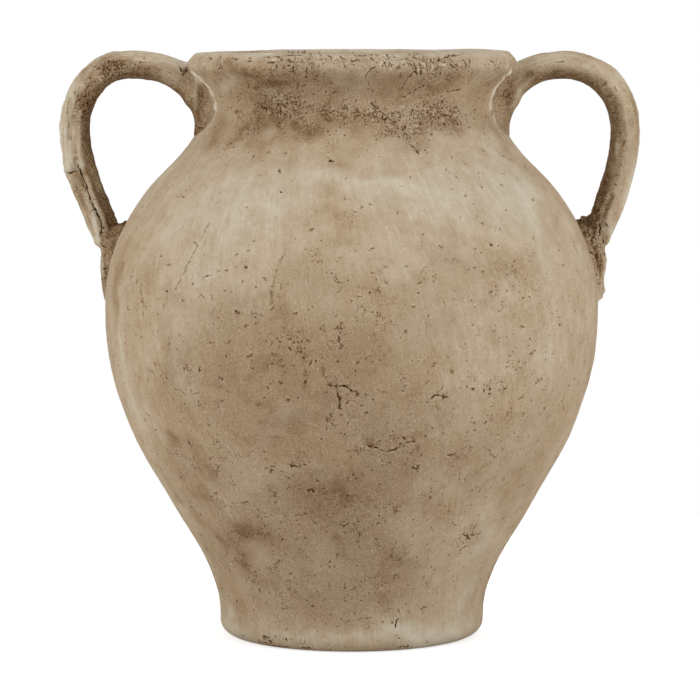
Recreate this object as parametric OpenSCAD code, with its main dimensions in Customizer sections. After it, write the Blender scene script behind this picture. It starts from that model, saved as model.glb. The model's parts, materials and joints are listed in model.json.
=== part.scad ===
// Two-handled jar of unglazed clay, built the way a potter builds a large one: a slab foot, a thrown
// lower wall, a thrown shoulder, a neck collar and a rim coil, joined edge to edge on ridged seams,
// then two rolled handles, each luted to the neck and to the shoulder with a pad of soft clay.
// The origin is at the centre of the resting face and +Z is up. The handles lie along X and the
// front faces -Y. Sizes are in millimetres.

/* [Foot] */
// Radius of the foot's upright side
foot_r = 79; // [65:0.5:92]
// Height of the foot's upright side
foot_h = 14; // [10:0.5:24]
// Rounding of the foot's lower edge
foot_edge_r = 9; // [3:0.5:14]
// Thickness of the slab that closes the bottom
slab_t = 12; // [8:0.5:18]

/* [Lower body] */
// Rise from the foot to the flare
flare_rise = 26; // [18:0.5:34]
// Distance by which the flare stands out from the foot
flare_out = 6.5; // [2:0.5:12]
// Rise from the flare to the flank
flank_rise = 40; // [30:0.5:52]
// Radius at the flank
flank_r = 108; // [96:0.5:120]
// Rise from the flank to the lower belly
lower_belly_rise = 45; // [34:0.5:58]
// Distance by which the lower belly lies in from the widest part
lower_belly_inset = 14; // [8:0.5:20]
// Rise from the lower belly to the widest part
belly_rise = 60; // [45:0.5:76]
// Radius at the widest part of the belly
belly_r = 147; // [138:0.5:158]

/* [Shoulder] */
// Rise from the widest part to the upper belly
upper_belly_rise = 50; // [40:0.5:60]
// Distance by which the upper belly lies in from the widest part
upper_belly_inset = 6; // [3:0.5:12]
// Rise from the upper belly to the shoulder
shoulder_rise = 33; // [26:0.5:42]
// Distance by which the shoulder lies in from the widest part
shoulder_inset = 25.5; // [18:0.5:34]

/* [Neck and rim] */
// Rise from the shoulder to the foot of the neck
neck_base_rise = 26; // [20:0.5:34]
// Distance by which the foot of the neck stands out from its narrowest part
neck_base_flare = 10.5; // [6:0.5:16]
// Rise from the foot of the neck to its narrowest part
neck_rise = 24; // [18:0.5:32]
// Radius at the narrowest part of the neck
neck_r = 87; // [80:0.5:94]
// Rise from the narrowest part to the lower arris of the lip
lip_rise = 23; // [18:0.5:30]
// How far the lip stands out from the narrowest part of the neck
lip_overhang = 11.5; // [6:0.5:16]
// Height of the lip's upright face
lip_face_h = 3; // [1:0.5:6]
// Height of the bevel between the lip's face and its top
lip_bevel_h = 6; // [3:0.5:10]
// Width of that bevel
lip_bevel_w = 5; // [2:0.5:8]
// Width of the flat ring on top of the rim
lip_top_w = 8; // [5:0.5:12]
// Height of the rim coil below the lip's arris
rim_coil_drop = 6; // [3:0.5:10]

/* [Wall] */
// Thickness of the thrown wall, square to its surface
wall_t = 9; // [6:0.5:12]
// Height of the ridge that keys each seam
seam_ridge_h = 3; // [1:0.5:5]

/* [Handles] */
// Thickness of the rolled handle
handle_d = 17.5; // [13:0.5:22]
// Thickness of the handle where it meets the neck
handle_root_d = 21; // [15:0.5:26]
// Depth of the upper root's centre below the lip's arris
neck_root_drop = 16; // [10:0.5:22]
// Slope of the handle as it leaves the neck, in degrees above level
neck_root_angle = 38; // [20:1:50]
// Distance of the left handle's crown from the narrowest part of the neck
left_crown_out = 44; // [34:0.5:52]
// Distance of the right handle's crown from the narrowest part of the neck
right_crown_out = 39; // [34:0.5:52]
// Height of the crown above the upper root
crown_rise = 17; // [10:0.5:26]
// Distance by which the left handle reaches beyond the belly
left_reach_beyond = 18.5; // [12:0.5:30]
// Distance by which the right handle reaches beyond the belly
right_reach_beyond = 16.5; // [12:0.5:30]
// Depth of the outermost point below the crown
reach_drop = 40; // [30:0.5:52]
// Depth of the lower root's centre below the outermost point
lower_root_drop = 71; // [58:0.5:80]
// Lean of the handle as it meets the shoulder, in degrees from upright
lower_root_angle = 23; // [10:1:32]

/* [Clay pads] */
// Width across the pad on the neck
neck_pad_w = 44; // [34:1:52]
// Depth of the neck pad where the handle leaves it
neck_pad_t = 13; // [9:0.5:15]
// Length of the neck pad above the upper root's centre
neck_pad_up = 13; // [9:0.5:18]
// Length of the neck pad below the upper root's centre
neck_pad_tail = 28; // [20:0.5:31]
// Width across the pad on the shoulder
shoulder_pad_w = 31; // [24:1:38]
// Depth of the shoulder pad where the handle lands on it
shoulder_pad_t = 10.5; // [8:0.5:13]
// Length of the shoulder pad above the lower root's centre
shoulder_pad_up = 15; // [12:1:20]
// Length of the smeared tail below the lower root's centre
shoulder_pad_tail = 33; // [26:1:36]
// Thickness left at the thin ends of a pad
pad_edge_t = 0.7; // [0.4:0.1:1.5]

/* [Hidden] */

// Fineness of the turned surfaces and of the swept clay
turn_fn = 216;
wall_step = 6;
edge_steps = 6;
sweep_sides = 16;
steps_per_bend = 13;
pad_rings = 9;

// Colours of the pale wall, the dirtier neck and the handles
pale_clay = [0.70, 0.62, 0.51];
dull_clay = [0.62, 0.53, 0.42];
rolled_clay = [0.66, 0.57, 0.46];

// Stations of the outer outline, from the foot up to the lip's arris
flare_z = foot_h + flare_rise;
flank_z = flare_z + flank_rise;
lower_belly_z = flank_z + lower_belly_rise;
belly_z = lower_belly_z + belly_rise;
upper_belly_z = belly_z + upper_belly_rise;
shoulder_z = upper_belly_z + shoulder_rise;
neck_base_z = shoulder_z + neck_base_rise;
neck_z = neck_base_z + neck_rise;
arris_z = neck_z + lip_rise;
flare_r = foot_r + flare_out;
lower_belly_r = belly_r - lower_belly_inset;
upper_belly_r = belly_r - upper_belly_inset;
shoulder_r = belly_r - shoulder_inset;
neck_base_r = neck_r + neck_base_flare;
lip_r = neck_r + lip_overhang;
station_z = [foot_h, flare_z, flank_z, lower_belly_z, belly_z, upper_belly_z, shoulder_z,
             neck_base_z, neck_z, arris_z];
station_r = [foot_r, flare_r, flank_r, lower_belly_r, belly_r, upper_belly_r, shoulder_r,
             neck_base_r, neck_r, lip_r];
last = len(station_z) - 1;

// Heights of the seams between the sections, and of the rim's top
rim_seam_z = arris_z - rim_coil_drop;
seam_z = [slab_t, belly_z, neck_base_z, rim_seam_z];
rim_top_z = arris_z + lip_face_h + lip_bevel_h;
rim_top_r = lip_r - lip_bevel_w;
foot_edge = min(foot_edge_r, slab_t);

// Slope of the line between stations i and i + 1
function chord(i) = (station_r[i + 1] - station_r[i]) / (station_z[i + 1] - station_z[i]);

// Slope of the outline at station i: upright at the foot, and elsewhere that of the parabola
// through the station and its neighbours
function station_slope(i) =
    i == 0 ? 0 :
    i == last ? 2 * chord(last - 1) - station_slope(last - 1) :
    let (below = station_z[i] - station_z[i - 1], above = station_z[i + 1] - station_z[i])
    (chord(i - 1) * above + chord(i) * below) / (below + above);

slopes = [for (i = [0:last]) station_slope(i)];

// Index of the station below height z
function span_of(z, i = 0) = i == last - 1 || z < station_z[i + 1] ? i : span_of(z, i + 1);

// Outer radius at height z: upright below the first station, then a smooth cubic between stations
function outer_r(z) =
    z <= foot_h ? foot_r :
    let (i = span_of(z), h = station_z[i + 1] - station_z[i], t = (z - station_z[i]) / h)
    (2 * t ^ 3 - 3 * t ^ 2 + 1) * station_r[i] + (t ^ 3 - 2 * t ^ 2 + t) * h * slopes[i]
    + (3 * t ^ 2 - 2 * t ^ 3) * station_r[i + 1] + (t ^ 3 - t ^ 2) * h * slopes[i + 1];

// Slope of the outer outline at height z, over a short rise
slope_rise = 0.1;
function outer_slope(z) = (outer_r(z + slope_rise) - outer_r(z - slope_rise)) / (2 * slope_rise);

// Inner radius that leaves the wall's thickness square to its surface
function inner_r(z) = outer_r(z) - wall_t * sqrt(1 + outer_slope(z) ^ 2);

// Even heights from one seam to the next
function heights(low, high) =
    let (n = max(2, ceil((high - low) / wall_step))) [for (i = [0:n]) low + (high - low) * i / n];

function reversed(list) = [for (i = [len(list) - 1:-1:0]) list[i]];

function outer_line(low, high) = [for (z = heights(low, high)) [outer_r(z), z]];
function inner_line(low, high) = [for (z = heights(low, high)) [inner_r(z), z]];

// Crest of the ridge that keys the seam at height z, midway through the wall
function seam_crest(z) = [[(outer_r(z) + inner_r(z)) / 2, z + seam_ridge_h]];

// Rounded lower edge of the foot, from the resting face to the upright side
foot_edge_line = [
    for (i = [0:edge_steps])
    let (a = -90 + 90 * i / edge_steps)
    [foot_r - foot_edge + foot_edge * cos(a), foot_edge + foot_edge * sin(a)]
];

// Outer face of the lip, from its arris to the edge of the flat top
lip_line = [[lip_r, arris_z + lip_face_h], [rim_top_r, rim_top_z]];

// Ring between two seams, keyed at both edges
module wall_section(low, high) {
    rotate_extrude($fn = turn_fn)
        polygon(concat(
            outer_line(low, high),
            seam_crest(high),
            reversed(inner_line(low, high)),
            seam_crest(low)
        ));
}

// Solid form inside the outer surface, which trims what is luted to the wall
module vessel_form() {
    rotate_extrude($fn = turn_fn)
        polygon(concat(
            [[0, 0]],
            foot_edge_line,
            outer_line(seam_z[0], seam_z[1]),
            outer_line(seam_z[1], seam_z[2]),
            outer_line(seam_z[2], seam_z[3]),
            outer_line(seam_z[3], arris_z),
            lip_line,
            [[0, rim_top_z]]
        ));
}

module foot_slab() {
    color(pale_clay)
        rotate_extrude($fn = turn_fn)
            polygon(concat(
                [[0, 0]],
                foot_edge_line,
                [[outer_r(slab_t), slab_t]],
                seam_crest(slab_t),
                [[inner_r(slab_t), slab_t], [0, slab_t]]
            ));
}

module lower_wall() {
    color(pale_clay) wall_section(seam_z[0], seam_z[1]);
}

module shoulder_wall() {
    color(pale_clay) wall_section(seam_z[1], seam_z[2]);
}

module neck_collar() {
    color(dull_clay) wall_section(seam_z[2], seam_z[3]);
}

module rim_coil() {
    color(dull_clay)
        rotate_extrude($fn = turn_fn)
            polygon(concat(
                outer_line(rim_seam_z, arris_z),
                lip_line,
                [[rim_top_r - lip_top_w, rim_top_z], [inner_r(rim_seam_z), rim_seam_z]],
                seam_crest(rim_seam_z)
            ));
}

// Point on a cubic curve with the four control points p
function bezier(p, t) =
    (1 - t) ^ 3 * p[0] + 3 * t * (1 - t) ^ 2 * p[1] + 3 * t ^ 2 * (1 - t) * p[2] + t ^ 3 * p[3];

// Key points of a handle's centreline, as distance from the axis and height, for each side
LEFT = 0;
RIGHT = 1;
crown_out = [left_crown_out, right_crown_out];
reach_beyond = [left_reach_beyond, right_reach_beyond];
neck_root_z = arris_z - neck_root_drop;
neck_root = [outer_r(neck_root_z), neck_root_z];
crown_z = neck_root_z + crown_rise;
reach_z = crown_z - reach_drop;
lower_root_z = reach_z - lower_root_drop;
function crown(side) = [neck_r + crown_out[side], crown_z];
function reach(side) = [belly_r + reach_beyond[side], reach_z];
lower_root = [outer_r(lower_root_z), lower_root_z];
leaving = [cos(neck_root_angle), sin(neck_root_angle)];
landing = [-sin(lower_root_angle), -cos(lower_root_angle)];

// Share of each bend's span that its control points lie from its ends
rise_pull = 0.42;
arch_pull = 0.60;
fall_pull = 0.30;
function bends(side) =
    let (top = crown(side), out = reach(side),
         rise_span = norm(top - neck_root), fall_span = norm(lower_root - out))
    [
        [neck_root, neck_root + leaving * rise_span * rise_pull,
         top - [rise_span * rise_pull, 0], top],
        [top, top + [(out[0] - top[0]) * arch_pull, 0],
         out + [0, reach_drop * arch_pull], out],
        [out, out - [0, fall_span * fall_pull],
         lower_root - landing * fall_span * fall_pull, lower_root]
    ];

// Centreline with both ends carried on into the wall, deep enough to bury the end faces
function handle_line(side) = concat(
    [neck_root - leaving * handle_root_d],
    [for (bend = bends(side)) for (i = [0:steps_per_bend - 1]) bezier(bend, i / steps_per_bend)],
    [lower_root, lower_root + landing * handle_root_d]
);

// Radius along the handle: thick at the neck, easing to the rolled thickness over the first bend
function handle_r(i) =
    let (t = max(0, 1 - (i - 1) / steps_per_bend))
    (handle_d + (handle_root_d - handle_d) * t ^ 2) / 2;
handle_section = [for (i = [0:len(handle_line(LEFT)) - 1]) [handle_r(i), handle_r(i)]];

// A luting pad runs down the wall's own surface past a root, swells under the handle and thins to
// its ends: bluntly above the root, and in a long smear below it. Its line lies inside the wall by
// the wall's bulge across the pad's width.
pad_steps = [for (i = [0:2 * pad_rings]) i / pad_rings - 1];
blunt_fullness = 0.8;
smear_fullness = 2;
function swell(s) = cos(90 * s) ^ (s < 0 ? blunt_fullness : smear_fullness);
function bulge(z, width) = outer_r(z) - sqrt(outer_r(z) ^ 2 - (width / 2) ^ 2);
function pad_z(s, root_z, up, tail) = root_z - (s < 0 ? up : tail) * s;
function pad_line(root_z, up, tail, width) = [
    for (s = pad_steps)
    let (z = pad_z(s, root_z, up, tail)) [outer_r(z) - bulge(z, width), z]
];
function pad_section(root_z, thick, width) = [
    for (s = pad_steps)
    [pad_edge_t + bulge(root_z, width) + (thick - pad_edge_t) * swell(s),
     width / 4 * (1 + swell(s))]
];

// Closed tube along a line in the XZ plane, with half sizes [in the plane, across it] at each point
module sweep(line, section) {
    n = len(line);
    function heading(i) =
        let (d = line[min(i + 1, n - 1)] - line[max(i - 1, 0)]) d / norm(d);
    points = [
        for (i = [0:n - 1])
        let (d = heading(i), side = [-d[1], d[0]])
        for (k = [0:sweep_sides - 1])
        let (a = 360 * k / sweep_sides, off = side * section[i][0] * cos(a))
        [line[i][0] + off[0], section[i][1] * sin(a), line[i][1] + off[1]]
    ];
    function at(i, k) = i * sweep_sides + k % sweep_sides;
    faces = concat(
        [for (i = [0:n - 2]) for (k = [0:sweep_sides - 1]) [at(i, k), at(i + 1, k + 1), at(i + 1, k)]],
        [for (i = [0:n - 2]) for (k = [0:sweep_sides - 1]) [at(i, k), at(i, k + 1), at(i + 1, k + 1)]],
        [for (k = [1:sweep_sides - 2]) [at(0, 0), at(0, k + 1), at(0, k)]],
        [for (k = [1:sweep_sides - 2]) [at(n - 1, 0), at(n - 1, k), at(n - 1, k + 1)]]
    );
    polyhedron(points, faces);
}

module clay_bar(side) {
    sweep(handle_line(side), handle_section);
}

// Pieces luted to the wall are drawn on the right, and those of the left handle are turned over
module on_side(side) {
    mirror([side == LEFT ? 1 : 0, 0, 0]) children();
}

module handle(side) {
    color(rolled_clay) on_side(side) difference() {
        clay_bar(side);
        vessel_form();
    }
}

module luting_pad(side, root_z, up, tail, thick, width) {
    on_side(side) difference() {
        sweep(pad_line(root_z, up, tail, width), pad_section(root_z, thick, width));
        clay_bar(side);
        vessel_form();
    }
}

module neck_pad(side) {
    color(dull_clay)
        luting_pad(side, neck_root_z, neck_pad_up, neck_pad_tail, neck_pad_t, neck_pad_w);
}

module shoulder_pad(side) {
    color(rolled_clay)
        luting_pad(side, lower_root_z, shoulder_pad_up, shoulder_pad_tail, shoulder_pad_t,
                   shoulder_pad_w);
}

foot_slab();
lower_wall();
shoulder_wall();
neck_collar();
rim_coil();
handle(LEFT);  // left_handle
handle(RIGHT);  // right_handle
neck_pad(LEFT);  // left_neck_pad
neck_pad(RIGHT);  // right_neck_pad
shoulder_pad(LEFT);  // left_shoulder_pad
shoulder_pad(RIGHT);  // right_shoulder_pad
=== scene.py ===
# %% [markdown]
# # A weathered clay jar with two handles
# The real jar is unglazed earthenware, thrown in sections, joined while damp, fitted with two rolled
# handles, fired, stained and worn. The frame holds its sections as plain solids at their real size.
# This lesson dresses each of them: a continuous hand-made skin over the wall, clay smeared round the
# handles, cracks and pits cut into the mesh, and one weathered clay finish over everything.

# %% Load the frame
import json
import math
import random

import bmesh
import bpy
import numpy as np
from mathutils import Matrix, Vector, noise
from mathutils.bvhtree import BVHTree
from mathutils.kdtree import KDTree

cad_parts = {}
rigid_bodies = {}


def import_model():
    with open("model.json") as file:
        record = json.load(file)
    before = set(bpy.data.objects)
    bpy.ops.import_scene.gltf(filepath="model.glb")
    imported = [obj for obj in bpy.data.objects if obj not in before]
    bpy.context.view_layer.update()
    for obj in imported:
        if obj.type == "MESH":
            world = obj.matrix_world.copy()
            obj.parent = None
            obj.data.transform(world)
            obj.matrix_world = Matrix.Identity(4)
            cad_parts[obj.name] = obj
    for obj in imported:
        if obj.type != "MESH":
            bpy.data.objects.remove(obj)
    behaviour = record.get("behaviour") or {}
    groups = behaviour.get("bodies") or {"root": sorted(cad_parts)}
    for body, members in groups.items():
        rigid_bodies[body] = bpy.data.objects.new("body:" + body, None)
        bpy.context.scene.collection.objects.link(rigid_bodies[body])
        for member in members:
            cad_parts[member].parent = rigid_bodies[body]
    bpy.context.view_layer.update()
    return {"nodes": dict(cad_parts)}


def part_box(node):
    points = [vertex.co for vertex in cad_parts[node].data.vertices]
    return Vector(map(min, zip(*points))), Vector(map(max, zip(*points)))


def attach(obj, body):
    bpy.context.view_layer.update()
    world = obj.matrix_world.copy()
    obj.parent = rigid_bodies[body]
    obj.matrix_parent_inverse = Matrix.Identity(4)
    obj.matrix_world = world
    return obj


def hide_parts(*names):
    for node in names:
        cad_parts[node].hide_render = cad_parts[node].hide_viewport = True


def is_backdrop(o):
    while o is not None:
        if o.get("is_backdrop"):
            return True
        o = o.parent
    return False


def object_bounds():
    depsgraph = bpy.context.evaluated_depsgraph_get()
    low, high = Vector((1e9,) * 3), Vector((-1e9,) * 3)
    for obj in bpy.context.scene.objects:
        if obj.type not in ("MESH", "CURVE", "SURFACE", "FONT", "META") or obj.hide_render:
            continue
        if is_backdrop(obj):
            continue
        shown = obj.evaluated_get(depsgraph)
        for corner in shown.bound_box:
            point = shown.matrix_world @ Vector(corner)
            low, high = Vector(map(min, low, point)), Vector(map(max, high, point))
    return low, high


for leftover in list(bpy.data.objects):
    bpy.data.objects.remove(leftover)
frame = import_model()
MM = 0.001
CLAY_SEED = 11
noise.seed_set(CLAY_SEED)

# %% [markdown]
# ## The camera
# A long lens far away, a little above the rim, sees the jar as the photograph does: the rim almost
# edge on and the foot as a shallow arc. The same numbers turn a photograph pixel into a ray, so a
# crack that is seen at a pixel can be put on the clay under that pixel.

# %% Camera and photograph rays
PHOTO_PX = 700
FOCAL_PX = 3933
SENSOR_MM = 36
CAMERA_AT = Vector((-1.0, -2350.0, 400.0)) * MM
CAMERA_AIM = Vector((-1.0, 0.0, 171.0)) * MM

camera = bpy.data.objects.new("camera", bpy.data.cameras.new("camera"))
bpy.context.scene.collection.objects.link(camera)
camera.data.sensor_width = SENSOR_MM
camera.data.lens = SENSOR_MM * FOCAL_PX / PHOTO_PX
camera.location = CAMERA_AT
camera.rotation_mode = "QUATERNION"
camera.rotation_quaternion = (CAMERA_AIM - CAMERA_AT).to_track_quat("-Z", "Y")
bpy.context.scene.camera = camera


def photo_ray(x, y):
    """Direction from the camera through a pixel of the photograph."""
    forward = (CAMERA_AIM - CAMERA_AT).normalized()
    right = Vector((1, 0, 0))
    up = right.cross(forward)
    across = x - PHOTO_PX / 2
    down = y - PHOTO_PX / 2
    return (forward * FOCAL_PX + right * across - up * down).normalized()


def on_middle(x, y):
    """Place under a pixel of the photograph on the plane through both handles."""
    ray = photo_ray(x, y)
    return CAMERA_AT - ray * (CAMERA_AT.y / ray.y)


print("camera: lens", round(camera.data.lens, 1), "mm at", [round(v, 3) for v in CAMERA_AT])

# %% [markdown]
# ## The outline of the wall
# The skin has to lie on the frame, so its outline is measured there and not typed in. Rays act as
# calipers: one from outside finds the outer radius at each height, one from the axis finds the inner
# radius. A light smoothing along the outline rounds the arrises as a wet sponge does.

# %% Measure the outline with calipers
WALL_NODES = ("foot_slab", "lower_wall", "shoulder_wall", "neck_collar", "rim_coil")
SAME_PLACE = 0.001 * MM
CALIPER_STEP = 0.4 * MM
CALIPER_START = CALIPER_STEP / 8
CALIPER_SIDESTEP = 0.3 * MM


def solid_bmesh(names):
    """One bmesh that holds copies of the named nodes, with their doubled corners merged."""
    made = bmesh.new()
    for name in names:
        made.from_mesh(frame["nodes"][name].data)
    bmesh.ops.remove_doubles(made, verts=made.verts, dist=SAME_PLACE)
    return made


wall_solid = solid_bmesh(WALL_NODES)
calipers = BVHTree.FromBMesh(wall_solid)
wall_solid.free()


def outer_radius(z):
    """Radius of the wall's outside at a height, by a ray from far out towards the axis."""
    return calipers.ray_cast(Vector((1, CALIPER_SIDESTEP, z)), Vector((-1, 0, 0)))[0].x


def inner_radius(z):
    """Radius of the wall's inside at a height, by a ray from the axis."""
    return calipers.ray_cast(Vector((0, CALIPER_SIDESTEP, z)), Vector((1, 0, 0)))[0].x


floor_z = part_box("foot_slab")[0].z
top_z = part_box("rim_coil")[1].z
seam_z = [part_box(name)[0].z for name in WALL_NODES[1:]]
inside_z = seam_z[0]
rim_seam_z = seam_z[-1]
outside_heights = np.arange(CALIPER_START, top_z, CALIPER_STEP)
inside_heights = np.arange(top_z - CALIPER_START, inside_z, -CALIPER_STEP)
raw_outline = np.array(
    [(0.0, floor_z)]
    + [(outer_radius(z), z) for z in outside_heights]
    + [(inner_radius(z), z) for z in inside_heights]
    + [(0.0, inside_z)]
)
print("calipers:", len(raw_outline), "readings, seams at", [round(z / MM, 1) for z in seam_z], "mm")

# %% Sponge the outline smooth
OUTLINE_STEP = 0.4 * MM
SPONGE_ROUNDING = 0.9 * MM
SMOOTHING_REACH = 3


def resampled(points, step):
    """Points at an even step along a polyline."""
    legs = np.linalg.norm(np.diff(points, axis=0), axis=1)
    run = np.concatenate([[0], np.cumsum(legs)])
    places = np.linspace(0, run[-1], max(2, round(run[-1] / step) + 1))
    return np.stack([np.interp(places, run, column) for column in points.T], axis=1)


def smoothed(points, width):
    """Gaussian smoothing along an evenly spaced polyline, with its ends kept in place."""
    reach = int(round(SMOOTHING_REACH * width))
    weights = np.exp(-0.5 * (np.arange(-reach, reach + 1) / width) ** 2)
    weights /= weights.sum()
    head = 2 * points[0] - points[reach:0:-1]
    tail = 2 * points[-1] - points[-2:-reach - 2:-1]
    padded = np.concatenate([head, points, tail])
    return np.stack([np.convolve(column, weights, "valid") for column in padded.T], axis=1)


outline = smoothed(resampled(raw_outline, OUTLINE_STEP), SPONGE_ROUNDING / OUTLINE_STEP)
rim_index = int(np.argmax(outline[:, 1]))
inner_seam_index = rim_index + int(np.argmin(np.abs(outline[rim_index:, 1] - rim_seam_z)))
outer_outline = outline[:inner_seam_index + 1]
inner_outline = outline[inner_seam_index:]
print("outline:", len(outer_outline), "points outside and over the lip,", len(inner_outline), "inside")

# %% [markdown]
# ## The thrown skin
# Every section of the wall comes off a wheel, so its shape follows a rule: an outline turned about
# the axis. A Geometry Nodes tree lays a grid over the outline, bends it round the axis and closes
# it, then adds what hands leave: slow lumps, faint throwing rings and a rim that isn't quite level.
# One skin runs over all the sections, because the real joints were smeared shut and don't show.


# %% Node helpers
def put(tree, kind, inputs=None, **settings):
    """Adds a node, sets its options, and sets or links its inputs."""
    made = tree.nodes.new(kind)
    for name, value in settings.items():
        setattr(made, name, value)
    for key, value in (inputs or {}).items():
        if isinstance(value, bpy.types.NodeSocket):
            tree.links.new(value, made.inputs[key])
        else:
            made.inputs[key].default_value = value
    return made


def calc(tree, operation, first, second=0.0, third=0.0):
    """Output of a Math node."""
    return put(tree, "ShaderNodeMath", {0: first, 1: second, 2: third}, operation=operation).outputs[0]


def vectors(tree, operation, *given):
    """Output of a Vector Math node."""
    return put(tree, "ShaderNodeVectorMath", dict(enumerate(given)), operation=operation).outputs[0]


def joined(tree, **parts):
    """Output of a Combine XYZ node."""
    return put(tree, "ShaderNodeCombineXYZ", parts).outputs[0]


def ease(tree, value, start, end, low=0.0, high=1.0):
    """Output of a smooth Map Range node."""
    limits = {"From Min": start, "From Max": end, "To Min": low, "To Max": high}
    return put(tree, "ShaderNodeMapRange", {"Value": value, **limits},
               interpolation_type="SMOOTHSTEP").outputs["Result"]


print("node helpers:", ", ".join(helper.__name__ for helper in (put, calc, vectors, joined, ease)))

# %% Lay a grid over the outline and turn it
SEAM_MERGE = 0.01 * MM


def turned_grid(tree, given):
    """A grid laid along the outline and turned about the axis, with its run stored on its points."""
    curve = put(tree, "GeometryNodeMeshToCurve", {"Mesh": given["Outline"]}).outputs["Curve"]
    length = put(tree, "GeometryNodeCurveLength", {"Curve": curve}).outputs["Length"]
    rows = calc(tree, "CEIL", calc(tree, "DIVIDE", length, given["Row spacing"]))
    grid = put(tree, "GeometryNodeMeshGrid", {
        "Size X": 1.0, "Size Y": 1.0,
        "Vertices X": calc(tree, "ADD", rows, 1.0),
        "Vertices Y": calc(tree, "ADD", given["Columns"], 1.0),
    })
    flat = put(tree, "ShaderNodeSeparateXYZ", {0: put(tree, "GeometryNodeInputPosition").outputs[0]})
    along = calc(tree, "ADD", flat.outputs["X"], 0.5)
    turn = calc(tree, "MULTIPLY_ADD", flat.outputs["Y"], -math.tau, -math.pi / 2)
    sample = put(tree, "GeometryNodeSampleCurve", {"Curves": curve, "Factor": along}, mode="FACTOR")
    turned = put(tree, "ShaderNodeVectorRotate",
                 {"Vector": sample.outputs["Position"], "Angle": turn}, rotation_type="Z_AXIS")
    marked = put(tree, "GeometryNodeStoreNamedAttribute", {
        "Geometry": grid.outputs["Mesh"], "Name": "arc",
        "Value": calc(tree, "MULTIPLY", along, length),
    }, data_type="FLOAT", domain="POINT")
    bent = put(tree, "GeometryNodeSetPosition",
               {"Geometry": marked.outputs[0], "Position": turned.outputs[0]})
    return put(tree, "GeometryNodeMergeByDistance",
               {"Geometry": bent.outputs[0], "Distance": SEAM_MERGE}).outputs[0]


print("the turned grid closes where its ends are within", round(SEAM_MERGE / MM, 3), "mm")


# %% Add what hands leave
def centred(tree, value, height):
    """A noise of 0 to 1, centred on zero and scaled to a height."""
    return calc(tree, "MULTIPLY", calc(tree, "SUBTRACT", value, 0.5), height)


def hand_marks(tree, given):
    """How far lumps, throwing rings and a leaning rim move each point."""
    place = put(tree, "GeometryNodeInputPosition").outputs[0]
    parts = put(tree, "ShaderNodeSeparateXYZ", {0: place}).outputs
    lump = put(tree, "ShaderNodeTexNoise", {
        "Vector": vectors(tree, "ADD", place, given["Seed"]), "Detail": 2.0,
        "Scale": calc(tree, "DIVIDE", 1.0, given["Lump size"]),
    }).outputs[0]
    run = put(tree, "GeometryNodeInputNamedAttribute", {"Name": "arc"}, data_type="FLOAT").outputs[0]
    ring_place = joined(tree, X=calc(tree, "DIVIDE", parts["X"], given["Lump size"]),
                        Y=calc(tree, "DIVIDE", parts["Y"], given["Lump size"]),
                        Z=calc(tree, "DIVIDE", run, given["Ring spacing"]))
    ring = put(tree, "ShaderNodeTexNoise", {"Vector": ring_place, "Scale": 1.0, "Detail": 1.0}).outputs[0]
    uneven = calc(tree, "ADD", centred(tree, lump, given["Lump height"]),
                  centred(tree, ring, given["Ring height"]))
    proud = calc(tree, "MULTIPLY", uneven, ease(tree, parts["Z"], 0.0, given["Flat foot"]))
    outwards = put(tree, "ShaderNodeVectorMath", {
        0: put(tree, "GeometryNodeInputNormal").outputs[0], "Scale": proud,
    }, operation="SCALE").outputs[0]
    leaning = ease(tree, parts["Z"], given["Lean start"], given["Lean end"])
    sloped = calc(tree, "MULTIPLY", parts["X"], given["Rim lean"])
    sloped = calc(tree, "MULTIPLY_ADD", parts["Y"], given["Rim rise"], sloped)
    tilted = joined(tree, Z=calc(tree, "MULTIPLY", sloped, leaning))
    return vectors(tree, "ADD", outwards, tilted)


SKIN_SIZES = ("Row spacing", "Lump size", "Lump height", "Ring spacing", "Ring height", "Rim lean",
              "Rim rise", "Lean start", "Lean end", "Flat foot", "Seed")
print("sizes that shape a skin:", ", ".join(SKIN_SIZES))

# %% The tree that throws a skin
SKIN_INPUTS = dict.fromkeys(SKIN_SIZES, "NodeSocketFloat")
SKIN_INPUTS.update({"Columns": "NodeSocketInt", "Clay": "NodeSocketMaterial"})


def thrown_skin_tree():
    """Geometry Nodes tree that turns an outline into a hand-thrown skin."""
    tree = bpy.data.node_groups.new("thrown skin", "GeometryNodeTree")
    face = tree.interface
    face.new_socket("Outline", in_out="INPUT", socket_type="NodeSocketGeometry")
    names = {}
    for name, kind in SKIN_INPUTS.items():
        names[name] = face.new_socket(name, in_out="INPUT", socket_type=kind).identifier
    face.new_socket("Skin", in_out="OUTPUT", socket_type="NodeSocketGeometry")
    given = put(tree, "NodeGroupInput").outputs
    closed = turned_grid(tree, given)
    offset = hand_marks(tree, given)
    worked = put(tree, "GeometryNodeSetPosition", {"Geometry": closed, "Offset": offset})
    soft = put(tree, "GeometryNodeSetShadeSmooth", {"Geometry": worked.outputs[0]})
    real = put(tree, "GeometryNodeRealizeInstances", {"Geometry": soft.outputs[0]})
    finished = put(tree, "GeometryNodeSetMaterial",
                   {"Geometry": real.outputs[0], "Material": given["Clay"]})
    tree.links.new(finished.outputs[0], put(tree, "NodeGroupOutput").inputs[0])
    return tree, names


skin_tree, skin_names = thrown_skin_tree()
print("skin tree:", len(skin_tree.nodes), "nodes and", len(skin_names), "named inputs")


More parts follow.
